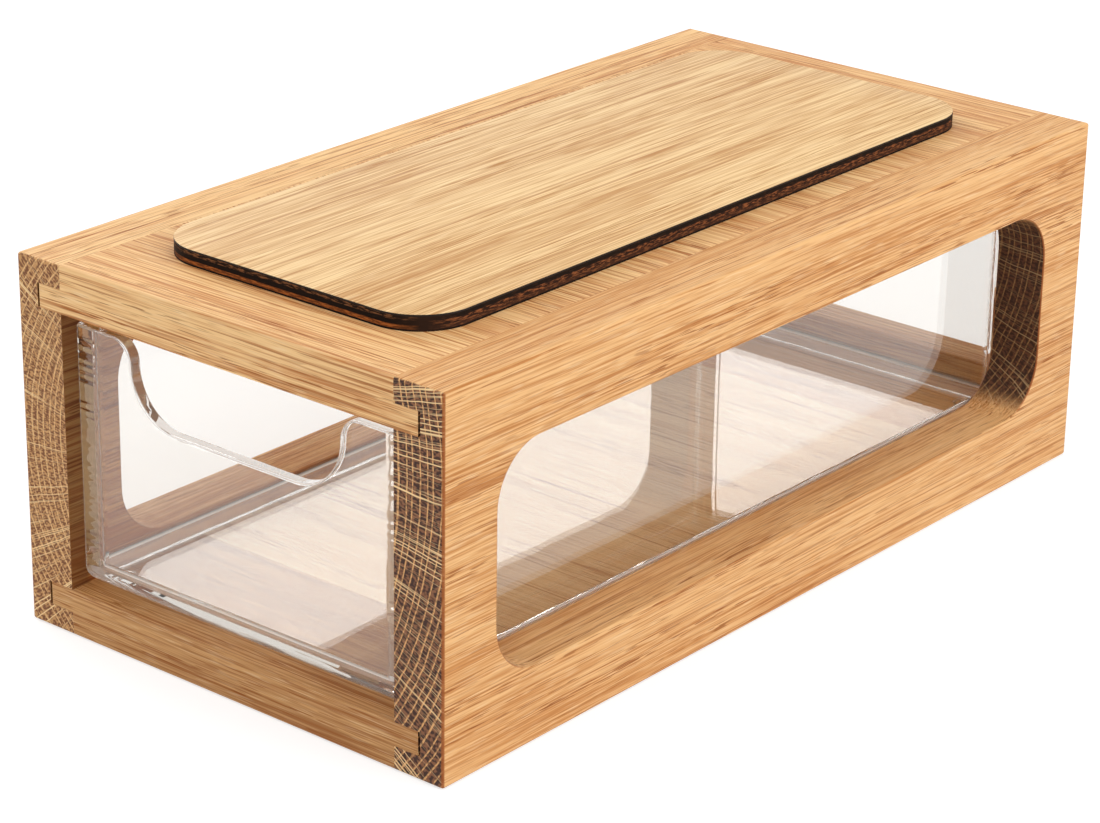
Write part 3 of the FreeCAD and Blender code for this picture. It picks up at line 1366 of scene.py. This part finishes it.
@dataclass
class OakCase:
    """Sides, glued-up top and bottom boards and the rail at the back, all from the frame."""

    stave_count: int = 6
    # From a side panel's middle to between its window's end and its own, and how strongly
    # the side panels' arrises show.
    window_reach_mm: float = 150.0
    side_arris_depth: float = 0.85
    # The piths of the staves' trees: where the first lies from front to back, how far apart
    # the next ones lie, how high those of each board lie, and by how much the second and
    # third of every three lie higher.
    first_pith_mm: float = -130.0
    pith_step_mm: float = 48.0
    top_pith_mm: float = 250.0
    bottom_pith_mm: float = -120.0
    pith_rise_mm: float = 17.0
    # Seeds of the staves' figure: the first, the step to the next, and more for the top.
    first_seed: float = 20.0
    seed_step: float = 7.3
    top_seed: float = 3.1
    # Two tones for the bottom's front stave, darker from its own board and from painted shade on
    # its front, and for those behind it, paler as painted light from the windows. Its last stave
    # is as the top is.
    front_bottom_tone_and_shade: Tones = ("#cc9b63", "#a46e3b")
    middle_bottom_lit: Tones = ("#f6dcb2", "#eac594")

    def build(self) -> list[bpy.types.Object]:
        """Dress every piece of the case.

        Returns:
            The dressed pieces.
        """
        return [*self._sides(), *self._boards(), self._rail()]

    def _sides(self) -> list[bpy.types.Object]:
        """Dress the side panels, whose ends show the rings.

        Returns:
            The left and the right panel.
        """
        left = OiledOak(
            name="oiled oak left side",
            grain=Grain.FRONT_TO_BACK,
            pith_mm=(-12.0, 63.0),
            seed=3.0,
            end_pale="#e2b57c",
            end_mid="#c3915c",
            end_dark="#7a4a2a",
            arris_depth=self.side_arris_depth,
            window_reach_mm=self.window_reach_mm,
            inward=1.0,
        )
        right = OiledOak(
            name="oiled oak right side",
            grain=Grain.FRONT_TO_BACK,
            pith_mm=(-41.0, 88.0),
            seed=11.0,
            line_depth=0.5,
            pale="#e4b379",
            warm="#c48547",
            arris_depth=self.side_arris_depth,
            window_reach_mm=self.window_reach_mm,
            inward=-1.0,
        )
        panels = []
        for node, finish in (("left_side_panel", left), ("right_side_panel", right)):
            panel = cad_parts[node]
            dress(panel, finish.build())
            panels.append(panel)
        return panels

    def _boards(self) -> list[bpy.types.Object]:
        """Dress the staves, each with a tree of its own.

        Returns:
            The pieces of the staves, as the lid's opening cuts some in two.
        """
        staves = []
        for index in range(self.stave_count):
            for board in Board:
                material = self._stave_finish(board, index).build()
                stem = f"{board.value}_{index + 1}"
                for name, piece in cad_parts.items():
                    if name == stem or name.startswith(f"{stem}_"):
                        dress(piece, material)
                        staves.append(piece)
        return staves

    def _stave_finish(self, board: Board, index: int) -> OiledOak:
        """Choose the oak of one stave.

        Args:
            board: The board that it is in.
            index: Its place in the board, from 0 at the front.

        Returns:
            The finish.
        """
        is_top = board is Board.TOP
        height_mm = self.top_pith_mm if is_top else self.bottom_pith_mm
        seed = self.first_seed + self.seed_step * index + (self.top_seed if is_top else 0.0)
        finish = OiledOak(
            name=f"oiled oak {board.value.replace('_', ' ')} {index + 1}",
            grain=Grain.SIDE_TO_SIDE,
            pith_mm=(
                self.first_pith_mm + self.pith_step_mm * index,
                height_mm + self.pith_rise_mm * (index % 3),
            ),
            seed=seed,
        )
        if is_top or index == self.stave_count - 1:
            return finish
        # The front stave takes its darker board tone with painted shade, the middle ones painted
        # light.
        pale, warm = self.middle_bottom_lit if index else self.front_bottom_tone_and_shade
        return replace(finish, pale=pale, warm=warm)

    def _rail(self) -> bpy.types.Object:
        """Dress the rail that the drawer stops against.

        Returns:
            The rail.
        """
        finish = OiledOak(
            name="oiled oak rail", grain=Grain.SIDE_TO_SIDE, pith_mm=(100.0, 140.0), seed=71.0
        )
        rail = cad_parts["back_rail"]
        dress(rail, finish.build())
        return rail


# --- The lid -----------------------------------------------------------------------------


@dataclass
class PlyLid:
    """Loose lid of thin oak-faced plywood, cut out by a laser, over its locating plate."""

    corner_radius: float = 0.018
    corner_steps: int = 16
    # How far the face's edge is eased, and at what share of that the easing bends.
    edge_ease: float = 0.00015
    ease_bend: float = 0.3
    sharp_degrees: float = 30.0
    half_width: float = field(init=False)
    half_depth: float = field(init=False)

    def __post_init__(self) -> None:
        """Take the lid's size from the frame."""
        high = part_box("lid_face_veneer")[1]
        self.half_width = high.x
        self.half_depth = high.y

    def build(self) -> list[bpy.types.Object]:
        """Build and dress the plies and dress the plate under them.

        Returns:
            The pieces of the lid.
        """
        pieces = []
        for node, (slot, material) in self._plies().items():
            low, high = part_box(node)
            ease = self.edge_ease if node == "lid_face_veneer" else 0.0
            piece = self._ply(f"{node}_cut", low.z, high.z, ease)
            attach(piece, "lid")
            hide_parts(node)
            dress(piece, material)
            pieces.append(piece)
        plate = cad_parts["lid_locating_plate"]
        plain = ScorchedEdge("#4a2d1a", "#9a6a3e")
        dress(plate, LaserCutPly("birch locating plate", plain, plain, face="#d3ad7c").build())
        return [*pieces, plate]

    @staticmethod
    def _plies() -> dict[str, tuple[str, bpy.types.Material]]:
        """Pair each ply with a slot name, which the lid leaves unused, and its material, from
        the face down.

        Returns:
            The slot name and the material by the node's name.
        """
        black = ScorchedEdge("#120a07", "#22140d")
        face = OiledOak(
            name="oiled oak lid veneer",
            grain=Grain.FRONT_TO_BACK,
            pith_mm=(12.0, -60.0),
            seed=47.0,
            ring_mm=3.4,
            wander_reach_mm=1.5,
            line_mm=(120.0, 1.3),
            pore_mm=(16.0, 0.42),
            line_depth=0.7,
            pore_depth=0.6,
            pale="#efcd98",
            warm="#c4925a",
            line="#a9692c",
            pore="#a0621f",
            scorched="#160c08",
        )
        upper = LaserCutPly(
            "laser-cut upper crossband",
            ScorchedEdge("#1d110b", "#7e5538", 0.62),
            ScorchedEdge("#170e09", "#3a2316", 0.45),
        )
        core = LaserCutPly(
            "laser-cut core ply",
            ScorchedEdge("#150c08", "#2a1a11", 0.4),
            ScorchedEdge("#2c1a12", "#8c5533", 0.62),
        )
        lower = LaserCutPly(
            "laser-cut lower crossband",
            ScorchedEdge("#6b3c1d", "#a8622f", 0.65),
            ScorchedEdge("#3c2317", "#74482c", 0.6),
        )
        under = LaserCutPly("laser-cut back veneer", black, black, face="#c99c68")
        return {
            "lid_face_veneer": ("lid_oak_veneer", face.build()),
            "lid_upper_crossband": ("lid_ply_dark", upper.build()),
            "lid_core_ply": ("lid_ply_core", core.build()),
            "lid_lower_crossband": ("lid_ply_dark", lower.build()),
            "lid_back_veneer": ("lid_oak_veneer", under.build()),
        }

    def _ply(self, name: str, bottom: float, top: float, ease: float) -> bpy.types.Object:
        """Build one ply as rings of rounded outline closed by strips across the lid.

        Args:
            name: The piece's name.
            bottom: Height of the underside.
            top: Height of the upper face.
            ease: How much the top edge is eased.

        Returns:
            The ply.
        """
        mesh = bmesh.new()
        levels = [(bottom, 0.0), (top - ease, 0.0)]
        if ease:
            bend = self.ease_bend * ease
            levels += [(top - bend, bend), (top, ease)]
        rings = []
        for height, inset in levels:
            outline = self._outline(inset)
            rings.append([mesh.verts.new((x, y, height)) for x, y in outline])
        count = len(rings[0])
        for lower, upper in zip(rings, rings[1:]):
            for i in range(count):
                j = (i + 1) % count
                mesh.faces.new((lower[i], lower[j], upper[j], upper[i]))
        half = count // 2
        for ring in (rings[0], rings[-1]):
            for i in range(half - 1):
                mesh.faces.new((ring[i], ring[i + 1], ring[-i - 2], ring[-i - 1]))
        piece = mesh_piece(name, mesh)
        piece.data.set_sharp_from_angle(angle=math.radians(self.sharp_degrees))
        return piece

    def _outline(self, inset: float) -> list[tuple[float, float]]:
        """Walk the outline from the front up the right side and back down the left.

        Args:
            inset: How far inside the lid's edge to walk.

        Returns:
            The outline's points, the second half mirroring the first.
        """
        radius = self.corner_radius - inset
        centre_x = self.half_width - self.corner_radius
        centre_y = self.half_depth - self.corner_radius
        right = []
        for start, side in ((-90, -1), (0, 1)):
            for step in range(self.corner_steps + 1):
                angle = math.radians(start + 90 * step / self.corner_steps)
                x = centre_x + radius * math.cos(angle)
                right.append((x, side * centre_y + radius * math.sin(angle)))
        return right + [(-x, y) for x, y in reversed(right)]


# --- The drawer --------------------------------------------------------------------------


@dataclass(frozen=True)
class BinWall:
    """One face of the drawer's wall, with its rounds: the outside or the hollow."""

    low: Pair
    high: Pair
    base: float
    base_radius: float
    corner_radius: float
    outside: bool

    @property
    def facing(self) -> int:
        """Give 1 where the wall faces away from the bin's middle, otherwise -1."""
        return 1 if self.outside else -1

    def core(self, inset: float = 0.0) -> tuple[Vector, Vector]:
        """Find the box on which the corners' centres lie.

        Args:
            inset: How far the base's round has pulled the wall in.

        Returns:
            The middle and the half size of the box.
        """
        middle = Vector((self.low[0] + self.high[0], self.low[1] + self.high[1], 0.0)) / 2
        half = Vector((self.high[0] - self.low[0], self.high[1] - self.low[1], 0.0)) / 2
        slip = self.corner_radius + (inset if self.outside else 0.0)
        return middle, half - Vector((slip, slip, 0.0))


@dataclass(frozen=True)
class Station:
    """One upright line of the wall.

    core is where it stands, out the way it faces, top its height at the rim, and up the way
    the rim faces there.
    """

    core: Vector
    out: Vector
    top: float
    up: Vector


@dataclass
class DrawerBin:
    """Clear moulded bin with a finger notch, round edges and low feet."""

    front_wall: float = 0.0042
    wall: float = 0.0035
    floor: float = 0.0035
    base_radius: float = 0.005
    base_inner_radius: float = 0.0042
    corner_radius: float = 0.0018
    corner_inner_radius: float = 0.0043
    rim_radius: float = 0.0008
    notch_half_width: float = 0.041
    notch_depth: float = 0.0248
    notch_lower_radius: float = 0.017
    notch_upper_radius: float = 0.0075
    foot_radius: float = 0.0032
    foot_inset: float = 0.01
    foot_height: float = 0.0017
    # The base runs into a foot with a hollow, and the foot's end is rounded.
    foot_hollow: float = 0.0004
    foot_round: float = 0.0005
    # Steps of the curves and of the walls, and at what shares the flats are divided.
    round_steps: int = 8
    notch_steps: int = 12
    side_steps: int = 14
    wall_steps: int = 5
    foot_steps: int = 28
    foot_round_steps: int = 3
    notch_shares: tuple[float, ...] = (0.33, 0.67)
    front_shares: tuple[float, ...] = (0.35, 0.7)
    back_shares: tuple[float, ...] = (0.75, 0.5, 0.25)
    # The upper steps of the hollow's base round, where most light leaves the walls.
    bright_steps: tuple[int, ...] = (6, 7)
    bright_haze: float = 0.9
    half_width: float = field(init=False)
    front: float = field(init=False)
    back: float = field(init=False)
    board: float = field(init=False)
    base: float = field(init=False)
    rim: float = field(init=False)
    normals: list[Vector] = field(default_factory=list, init=False)

    def __post_init__(self) -> None:
        """Take the bin's size from the frame."""
        low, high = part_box("drawer_bin")
        self.half_width = high.x
        self.front, self.back = low.y, high.y
        self.board = low.z
        self.base = low.z + self.foot_height
        self.rim = high.z

    def build(self) -> list[bpy.types.Object]:
        """Build the bin as one closed mesh and dress it.

        Returns:
            The bin.
        """
        mesh = bmesh.new()
        outside, hollow = self._walls()
        outer = self._shell(mesh, outside)
        inner = self._shell(mesh, hollow)
        self._join(mesh, outer[-1], inner[-1])
        self._cap(mesh, inner[0], [])
        self._cap(mesh, outer[0], self._feet(mesh))
        piece = mesh_piece("drawer_bin_moulded", mesh)
        piece.data.normals_split_custom_set_from_vertices([tuple(n) for n in self.normals])
        piece.data.materials.append(ClearStyrene().build())
        bright = ClearStyrene("clear moulded polystyrene base", round_haze=self.bright_haze)
        piece.data.materials.append(bright.build())
        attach(piece, "drawer")
        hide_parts("drawer_bin")
        return [piece]

    def _walls(self) -> tuple[BinWall, BinWall]:
        """Give the faces of the wall.

        Returns:
            The outside and the hollow.
        """
        outside = BinWall(
            low=(-self.half_width, self.front),
            high=(self.half_width, self.back),
            base=self.base,
            base_radius=self.base_radius,
            corner_radius=self.corner_radius,
            outside=True,
        )
        hollow = BinWall(
            low=(self.wall - self.half_width, self.front + self.front_wall),
            high=(self.half_width - self.wall, self.back - self.wall),
            base=self.base + self.floor,
            base_radius=self.base_inner_radius,
            corner_radius=self.corner_inner_radius,
            outside=False,
        )
        return outside, hollow

    def _notch(self) -> list[tuple[float, float, Vector]]:
        """Walk the right half of the notch from near its middle up to the flat rim.

        Returns:
            For each stop its distance from the middle, its height and how the rim faces.
        """
        floor = self.rim - self.notch_depth
        lower_x = self.notch_half_width - self.notch_lower_radius
        lower_z = floor + self.notch_lower_radius
        upper_x = self.notch_half_width + self.notch_upper_radius
        upper_z = self.rim - self.notch_upper_radius
        stops = [(lower_x * share, floor, UP) for share in self.notch_shares]
        for step in range(self.notch_steps):
            angle = math.radians(90 * step / self.notch_steps)
            up = Vector((-math.sin(angle), 0.0, math.cos(angle)))
            place = Vector((lower_x, 0.0, lower_z)) - self.notch_lower_radius * up
            stops.append((place.x, place.z, up))
        middle_z = (lower_z + upper_z) / 2
        stops.append((self.notch_half_width, middle_z, Vector((-1.0, 0.0, 0.0))))
        for step in range(1, self.notch_steps + 1):
            angle = math.radians(90 * step / self.notch_steps)
            up = Vector((-math.cos(angle), 0.0, math.sin(angle)))
            place = Vector((upper_x, 0.0, upper_z)) + self.notch_upper_radius * up
            stops.append((place.x, place.z, up))
        return stops

    def _stations(self, wall: BinWall) -> list[Station]:
        """Set out the upright lines of a wall from the middle of the front, round to the right.

        Args:
            wall: The face of the wall.

        Returns:
            The stations; both faces have the same number.
        """
        middle, half = wall.core()
        front_y = middle.y - half.y
        forward = Vector((0.0, -1.0, 0.0))
        right = []
        for x, z, up in self._notch():
            right.append(Station(Vector((x, front_y, 0.0)), forward, z, up))
        last_x = right[-1].core.x
        for share in self.front_shares:
            x = last_x + share * (half.x - last_x)
            right.append(Station(Vector((x, front_y, 0.0)), forward, self.rim, UP))
        right += self._corner(Vector((half.x, front_y, 0.0)), -90.0)
        sideways = Vector((1.0, 0.0, 0.0))
        for step in range(1, self.side_steps):
            y = front_y + 2 * half.y * step / self.side_steps
            right.append(Station(Vector((half.x, y, 0.0)), sideways, self.rim, UP))
        right += self._corner(Vector((half.x, middle.y + half.y, 0.0)), 0.0)
        for share in self.back_shares:
            core = Vector((half.x * share, middle.y + half.y, 0.0))
            right.append(Station(core, -forward, self.rim, UP))
        left = [self._mirror(station) for station in reversed(right)]
        floor = self.rim - self.notch_depth
        first = Station(Vector((0.0, front_y, 0.0)), forward, floor, UP)
        last = Station(Vector((0.0, middle.y + half.y, 0.0)), -forward, self.rim, UP)
        return [first, *right, last, *left]

    def _corner(self, core: Vector, start: float) -> list[Station]:
        """Turn a corner of the wall.

        Args:
            core: The corner's centre.
            start: The way the wall faces before the corner, in degrees from the X axis.

        Returns:
            The corner's stations, its ends among them.
        """
        turn = []
        for step in range(self.round_steps + 1):
            angle = math.radians(start + 90 * step / self.round_steps)
            out = Vector((math.cos(angle), math.sin(angle), 0.0))
            turn.append(Station(core, out, self.rim, UP))
        return turn

    @staticmethod
    def _mirror(station: Station) -> Station:
        """Give the station's twin on the left."""
        flip = Vector((-1.0, 1.0, 1.0))
        return Station(station.core * flip, station.out * flip, station.top, station.up * flip)

    def _put(self, mesh: bmesh.types.BMesh, place: Vector, normal: Vector) -> bmesh.types.BMVert:
        """Add a vertex and keep the true normal of the surface there."""
        self.normals.append(normal.normalized())
        return mesh.verts.new(place)

    def _shell(
        self, mesh: bmesh.types.BMesh, wall: BinWall
    ) -> list[list[bmesh.types.BMVert]]:
        """Build one face of the wall, from the base's round to the rim's.

        Args:
            mesh: The mesh to add to.
            wall: The face of the wall.

        Returns:
            The rings of vertices, from the base to the rim.
        """
        stations = self._stations(wall)
        rings = self._base_round(mesh, wall, stations)
        rings += self._upright(mesh, wall, stations)
        rings += self._rim_round(mesh, wall, stations)
        for level, (lower, upper) in enumerate(zip(rings, rings[1:])):
            guides_light = not wall.outside and level in self.bright_steps
            self._join(mesh, lower, upper, 1 if guides_light else 0)
        return rings

    def _base_round(
        self, mesh: bmesh.types.BMesh, wall: BinWall, stations: Sequence[Station]
    ) -> list[list[bmesh.types.BMVert]]:
        """Round the wall into the base.

        Args:
            mesh: The mesh to add to.
            wall: The face of the wall.
            stations: The wall's upright lines.

        Returns:
            The rings, from the flat base up.
        """
        middle, half = wall.core()
        rings = []
        for step in range(self.round_steps + 1):
            angle = math.radians(90 * step / self.round_steps)
            inset = wall.base_radius * (1 - math.sin(angle))
            height = wall.base + wall.base_radius * (1 - math.cos(angle))
            radius = wall.corner_radius - (0.0 if wall.outside else inset)
            drawn_in = wall.core(inset)[1]
            share = Vector((drawn_in.x / half.x, drawn_in.y / half.y, 0.0))
            ring = []
            for station in stations:
                foot = self._foot_of(station) - middle
                place = middle + foot * share + radius * station.out
                place.z = height
                normal = math.sin(angle) * station.out - math.cos(angle) * UP
                ring.append(self._put(mesh, place, wall.facing * normal))
            rings.append(ring)
        return rings

    def _foot_of(self, station: Station) -> Vector:
        """Find where the upright line below a rim's round stands on the core box."""
        foot = station.core - self.rim_radius * station.up
        return Vector((foot.x, foot.y, 0.0))

    def _upright(
        self, mesh: bmesh.types.BMesh, wall: BinWall, stations: Sequence[Station]
    ) -> list[list[bmesh.types.BMVert]]:
        """Build the upright part of the wall between its rounds.

        Args:
            mesh: The mesh to add to.
            wall: The face of the wall.
            stations: The wall's upright lines.

        Returns:
            The rings, from the base up.
        """
        bottom = wall.base + wall.base_radius
        rings = []
        for step in range(1, self.wall_steps):
            share = step / self.wall_steps
            ring = []
            for station in stations:
                place = self._foot_of(station) + wall.corner_radius * station.out
                top = station.top - self.rim_radius * station.up.z
                place.z = bottom + share * (top - bottom)
                ring.append(self._put(mesh, place, wall.facing * station.out))
            rings.append(ring)
        return rings

    def _rim_round(
        self, mesh: bmesh.types.BMesh, wall: BinWall, stations: Sequence[Station]
    ) -> list[list[bmesh.types.BMVert]]:
        """Round the top of the wall over into the flat of the rim.

        Args:
            mesh: The mesh to add to.
            wall: The face of the wall.
            stations: The wall's upright lines.

        Returns:
            The rings, from the wall to the flat.
        """
        rings = []
        for step in range(self.round_steps // 2 + 1):
            angle = math.radians(180 * step / self.round_steps)
            ring = []
            for station in stations:
                out = wall.facing * station.out
                edge = station.core + wall.corner_radius * station.out
                edge.z = station.top
                drop = self.rim_radius * (1 - math.sin(angle)) * station.up
                pull = self.rim_radius * (1 - math.cos(angle)) * out
                normal = math.sin(angle) * station.up + math.cos(angle) * out
                ring.append(self._put(mesh, edge - drop - pull, normal))
            rings.append(ring)
        return rings

    @staticmethod
    def _join(
        mesh: bmesh.types.BMesh,
        lower: Sequence[bmesh.types.BMVert],
        upper: Sequence[bmesh.types.BMVert],
        finish: int = 0,
    ) -> None:
        """Join two rings by quads.

        Args:
            mesh: The mesh to add to.
            lower: One ring.
            upper: The next ring, with as many vertices.
            finish: The number of the material that the quads take.
        """
        for i, vertex in enumerate(lower):
            j = (i + 1) % len(lower)
            face = mesh.faces.new((vertex, lower[j], upper[j], upper[i]))
            face.material_index = finish

    def _feet(self, mesh: bmesh.types.BMesh) -> list[list[bmesh.types.BMVert]]:
        """Build the feet under the base.

        Args:
            mesh: The mesh to add to.

        Returns:
            For each foot the ring where it meets the base.
        """
        across = self.half_width - self.foot_inset
        places = [
            (x, y)
            for x in (-across, across)
            for y in (self.front + self.foot_inset, self.back - self.foot_inset)
        ]
        return [self._foot(mesh, x, y) for x, y in places]

    def _foot(self, mesh: bmesh.types.BMesh, x: float, y: float) -> list[bmesh.types.BMVert]:
        """Build one foot, hollowed where it meets the base and rounded where it stands.

        Args:
            mesh: The mesh to add to.
            x: The foot's middle from side to side.
            y: The foot's middle from front to back.

        Returns:
            The ring where the foot meets the base.
        """
        steps = range(self.foot_round_steps + 1)
        turns = [math.radians(90 * step / self.foot_round_steps) for step in steps]
        profile = []
        for angle in turns:
            radius = self.foot_radius + self.foot_hollow * (1 - math.sin(angle))
            height = self.base - self.foot_hollow * (1 - math.cos(angle))
            profile.append((radius, height, math.sin(angle), -math.cos(angle)))
        for angle in turns:
            radius = self.foot_radius - self.foot_round * (1 - math.cos(angle))
            height = self.board + self.foot_round * (1 - math.sin(angle))
            profile.append((radius, height, math.cos(angle), -math.sin(angle)))
        rings = []
        for radius, height, level, down in profile:
            ring = []
            for step in range(self.foot_steps):
                turn = 2 * math.pi * step / self.foot_steps
                way = Vector((math.cos(turn), math.sin(turn), 0.0))
                place = Vector((x, y, height)) + radius * way
                ring.append(self._put(mesh, place, level * way + down * UP))
            rings.append(ring)
        for upper, lower in zip(rings, rings[1:]):
            self._join(mesh, upper, lower)
        mesh.faces.new(rings[-1])
        return rings[0]

    @staticmethod
    def _cap(
        mesh: bmesh.types.BMesh,
        outline: Sequence[bmesh.types.BMVert],
        holes: Sequence[Sequence[bmesh.types.BMVert]],
    ) -> None:
        """Fill a flat face inside an outline, round the holes in it.

        Args:
            mesh: The mesh to add to.
            outline: The ring round the face.
            holes: The rings of the holes.
        """
        edges = []
        for ring in (outline, *holes):
            for i, vertex in enumerate(ring):
                edges.append(mesh.edges.get((vertex, ring[(i + 1) % len(ring)])))
        bmesh.ops.triangle_fill(mesh, use_beauty=True, edges=edges)


# --- The studio --------------------------------------------------------------------------


@dataclass(frozen=True)
class SoftBox:
    """A large diffused lamp aimed at the middle of the box."""

    name: str
    place: Point
    size: Pair
    radiance: float
    seen_in_gloss: bool = True
    lights_matt: bool = True

    def build(self, target: Vector) -> bpy.types.Object:
        """Build the lamp.

        Args:
            target: The point it faces.

        Returns:
            The lamp's object.
        """
        lamp = bpy.data.lights.new(self.name, "AREA")
        lamp.shape = "RECTANGLE"
        lamp.size, lamp.size_y = self.size
        # A flat lamp's watts are its radiance times its area times pi.
        lamp.energy = self.radiance * self.size[0] * self.size[1] * math.pi
        piece = bpy.data.objects.new(self.name, lamp)
        piece.location = self.place
        aim = target - Vector(self.place)
        piece.rotation_euler = aim.to_track_quat("-Z", "Y").to_euler()
        piece.visible_camera = False
        piece.visible_glossy = self.seen_in_gloss
        piece.visible_diffuse = self.lights_matt
        bpy.context.scene.collection.objects.link(piece)
        return piece


@dataclass
class Studio:
    """White paper floor, soft lamps, a pale surround and the camera."""

    # The paper: half its side, its squares to a side, and its height, just under the box.
    floor_half: float = 4.0
    floor_squares: int = 8
    floor_height: float = -0.0002
    # How strongly the room lights the box, where it shows as 1.
    surround: float = 0.4
    target: Point = (0.0, 0.0, 0.06)
    # The rear lamp shines through the clear plastic only.
    lamps: tuple[SoftBox, ...] = (
        SoftBox("top_softbox", (0.35, -0.25, 1.5), size=(1.5, 1.5), radiance=1.6),
        SoftBox("right_softbox", (1.7, 0.35, 0.7), size=(1.2, 1.0), radiance=4.3),
        SoftBox("left_softbox", (-1.7, 0.2, 0.75), size=(1.3, 1.0), radiance=4.2),
        SoftBox("front_softbox", (-0.4, -1.9, 0.9), size=(1.2, 0.9), radiance=2.0),
        SoftBox(
            "rear_softbox",
            (-1.3, 1.6, 0.95),
            size=(2.0, 1.2),
            radiance=1.9,
            seen_in_gloss=False,
            lights_matt=False,
        ),
    )
    camera_place: Point = (0.6481328, -0.8006738, 0.4618532)
    camera_degrees: Triple = (67.7942421, -0.80859696, 39.86986972)
    camera_lens_mm: float = 114.5254554
    camera_sensor_mm: float = 36.0
    camera_clip: Pair = (0.05, 50.0)

    def build(self) -> list[bpy.types.Object]:
        """Build the studio.

        Returns:
            The floor, the lamps and the camera.
        """
        self._surround()
        lamps = [lamp.build(Vector(self.target)) for lamp in self.lamps]
        return [self._floor(), *lamps, self._camera()]

    def _floor(self) -> bpy.types.Object:
        """Lay the paper.

        Returns:
            The floor.
        """
        mesh = bmesh.new()
        squares = self.floor_squares
        bmesh.ops.create_grid(
            mesh, x_segments=squares, y_segments=squares, size=self.floor_half
        )
        bmesh.ops.translate(mesh, verts=mesh.verts, vec=(0.0, 0.0, self.floor_height))
        floor = mesh_piece("studio_floor", mesh)
        dress(floor, StudioPaper().build())
        return floor

    def _surround(self) -> None:
        """Light the room evenly, and show it white to the eye and in gloss and glass."""
        world = bpy.data.worlds.new("white studio")
        world.use_nodes = True
        tree = world.node_tree
        tree.nodes.clear()
        strength = add_node(
            tree,
            "ShaderNodeMapRange",
            {"To Min": self.surround, "To Max": 1.0},
            {"Value": seen_rays(tree)},
        )
        white = add_node(
            tree,
            "ShaderNodeBackground",
            {"Color": linear("#ffffff")},
            {"Strength": strength.outputs["Result"]},
        )
        add_node(tree, "ShaderNodeOutputWorld", {}, {"Surface": white.outputs["Background"]})
        bpy.context.scene.world = world

    def _camera(self) -> bpy.types.Object:
        """Set up the camera.

        Returns:
            The camera.
        """
        lens = bpy.data.cameras.new("camera")
        lens.sensor_fit = "HORIZONTAL"
        lens.sensor_width = self.camera_sensor_mm
        lens.lens = self.camera_lens_mm
        lens.clip_start, lens.clip_end = self.camera_clip
        camera = bpy.data.objects.new("camera", lens)
        camera.location = self.camera_place
        camera.rotation_euler = Euler([math.radians(turn) for turn in self.camera_degrees])
        bpy.context.scene.collection.objects.link(camera)
        bpy.context.scene.camera = camera
        return camera


def main() -> None:
    """Build and dress the box, then set up the studio round it."""
    logging.basicConfig(level=logging.INFO, format="%(message)s")
    bpy.context.scene.view_settings.view_transform = "Standard"
    for part in (OakCase(), PlyLid(), DrawerBin()):
        for piece in part.build():
            faces = len(piece.data.polygons)
            LOG.info("%s: %s, %d faces", type(part).__name__, piece.name, faces)
    for item in Studio().build():
        LOG.info("Studio: %s", item.name)


if __name__ == "__main__":
    main()
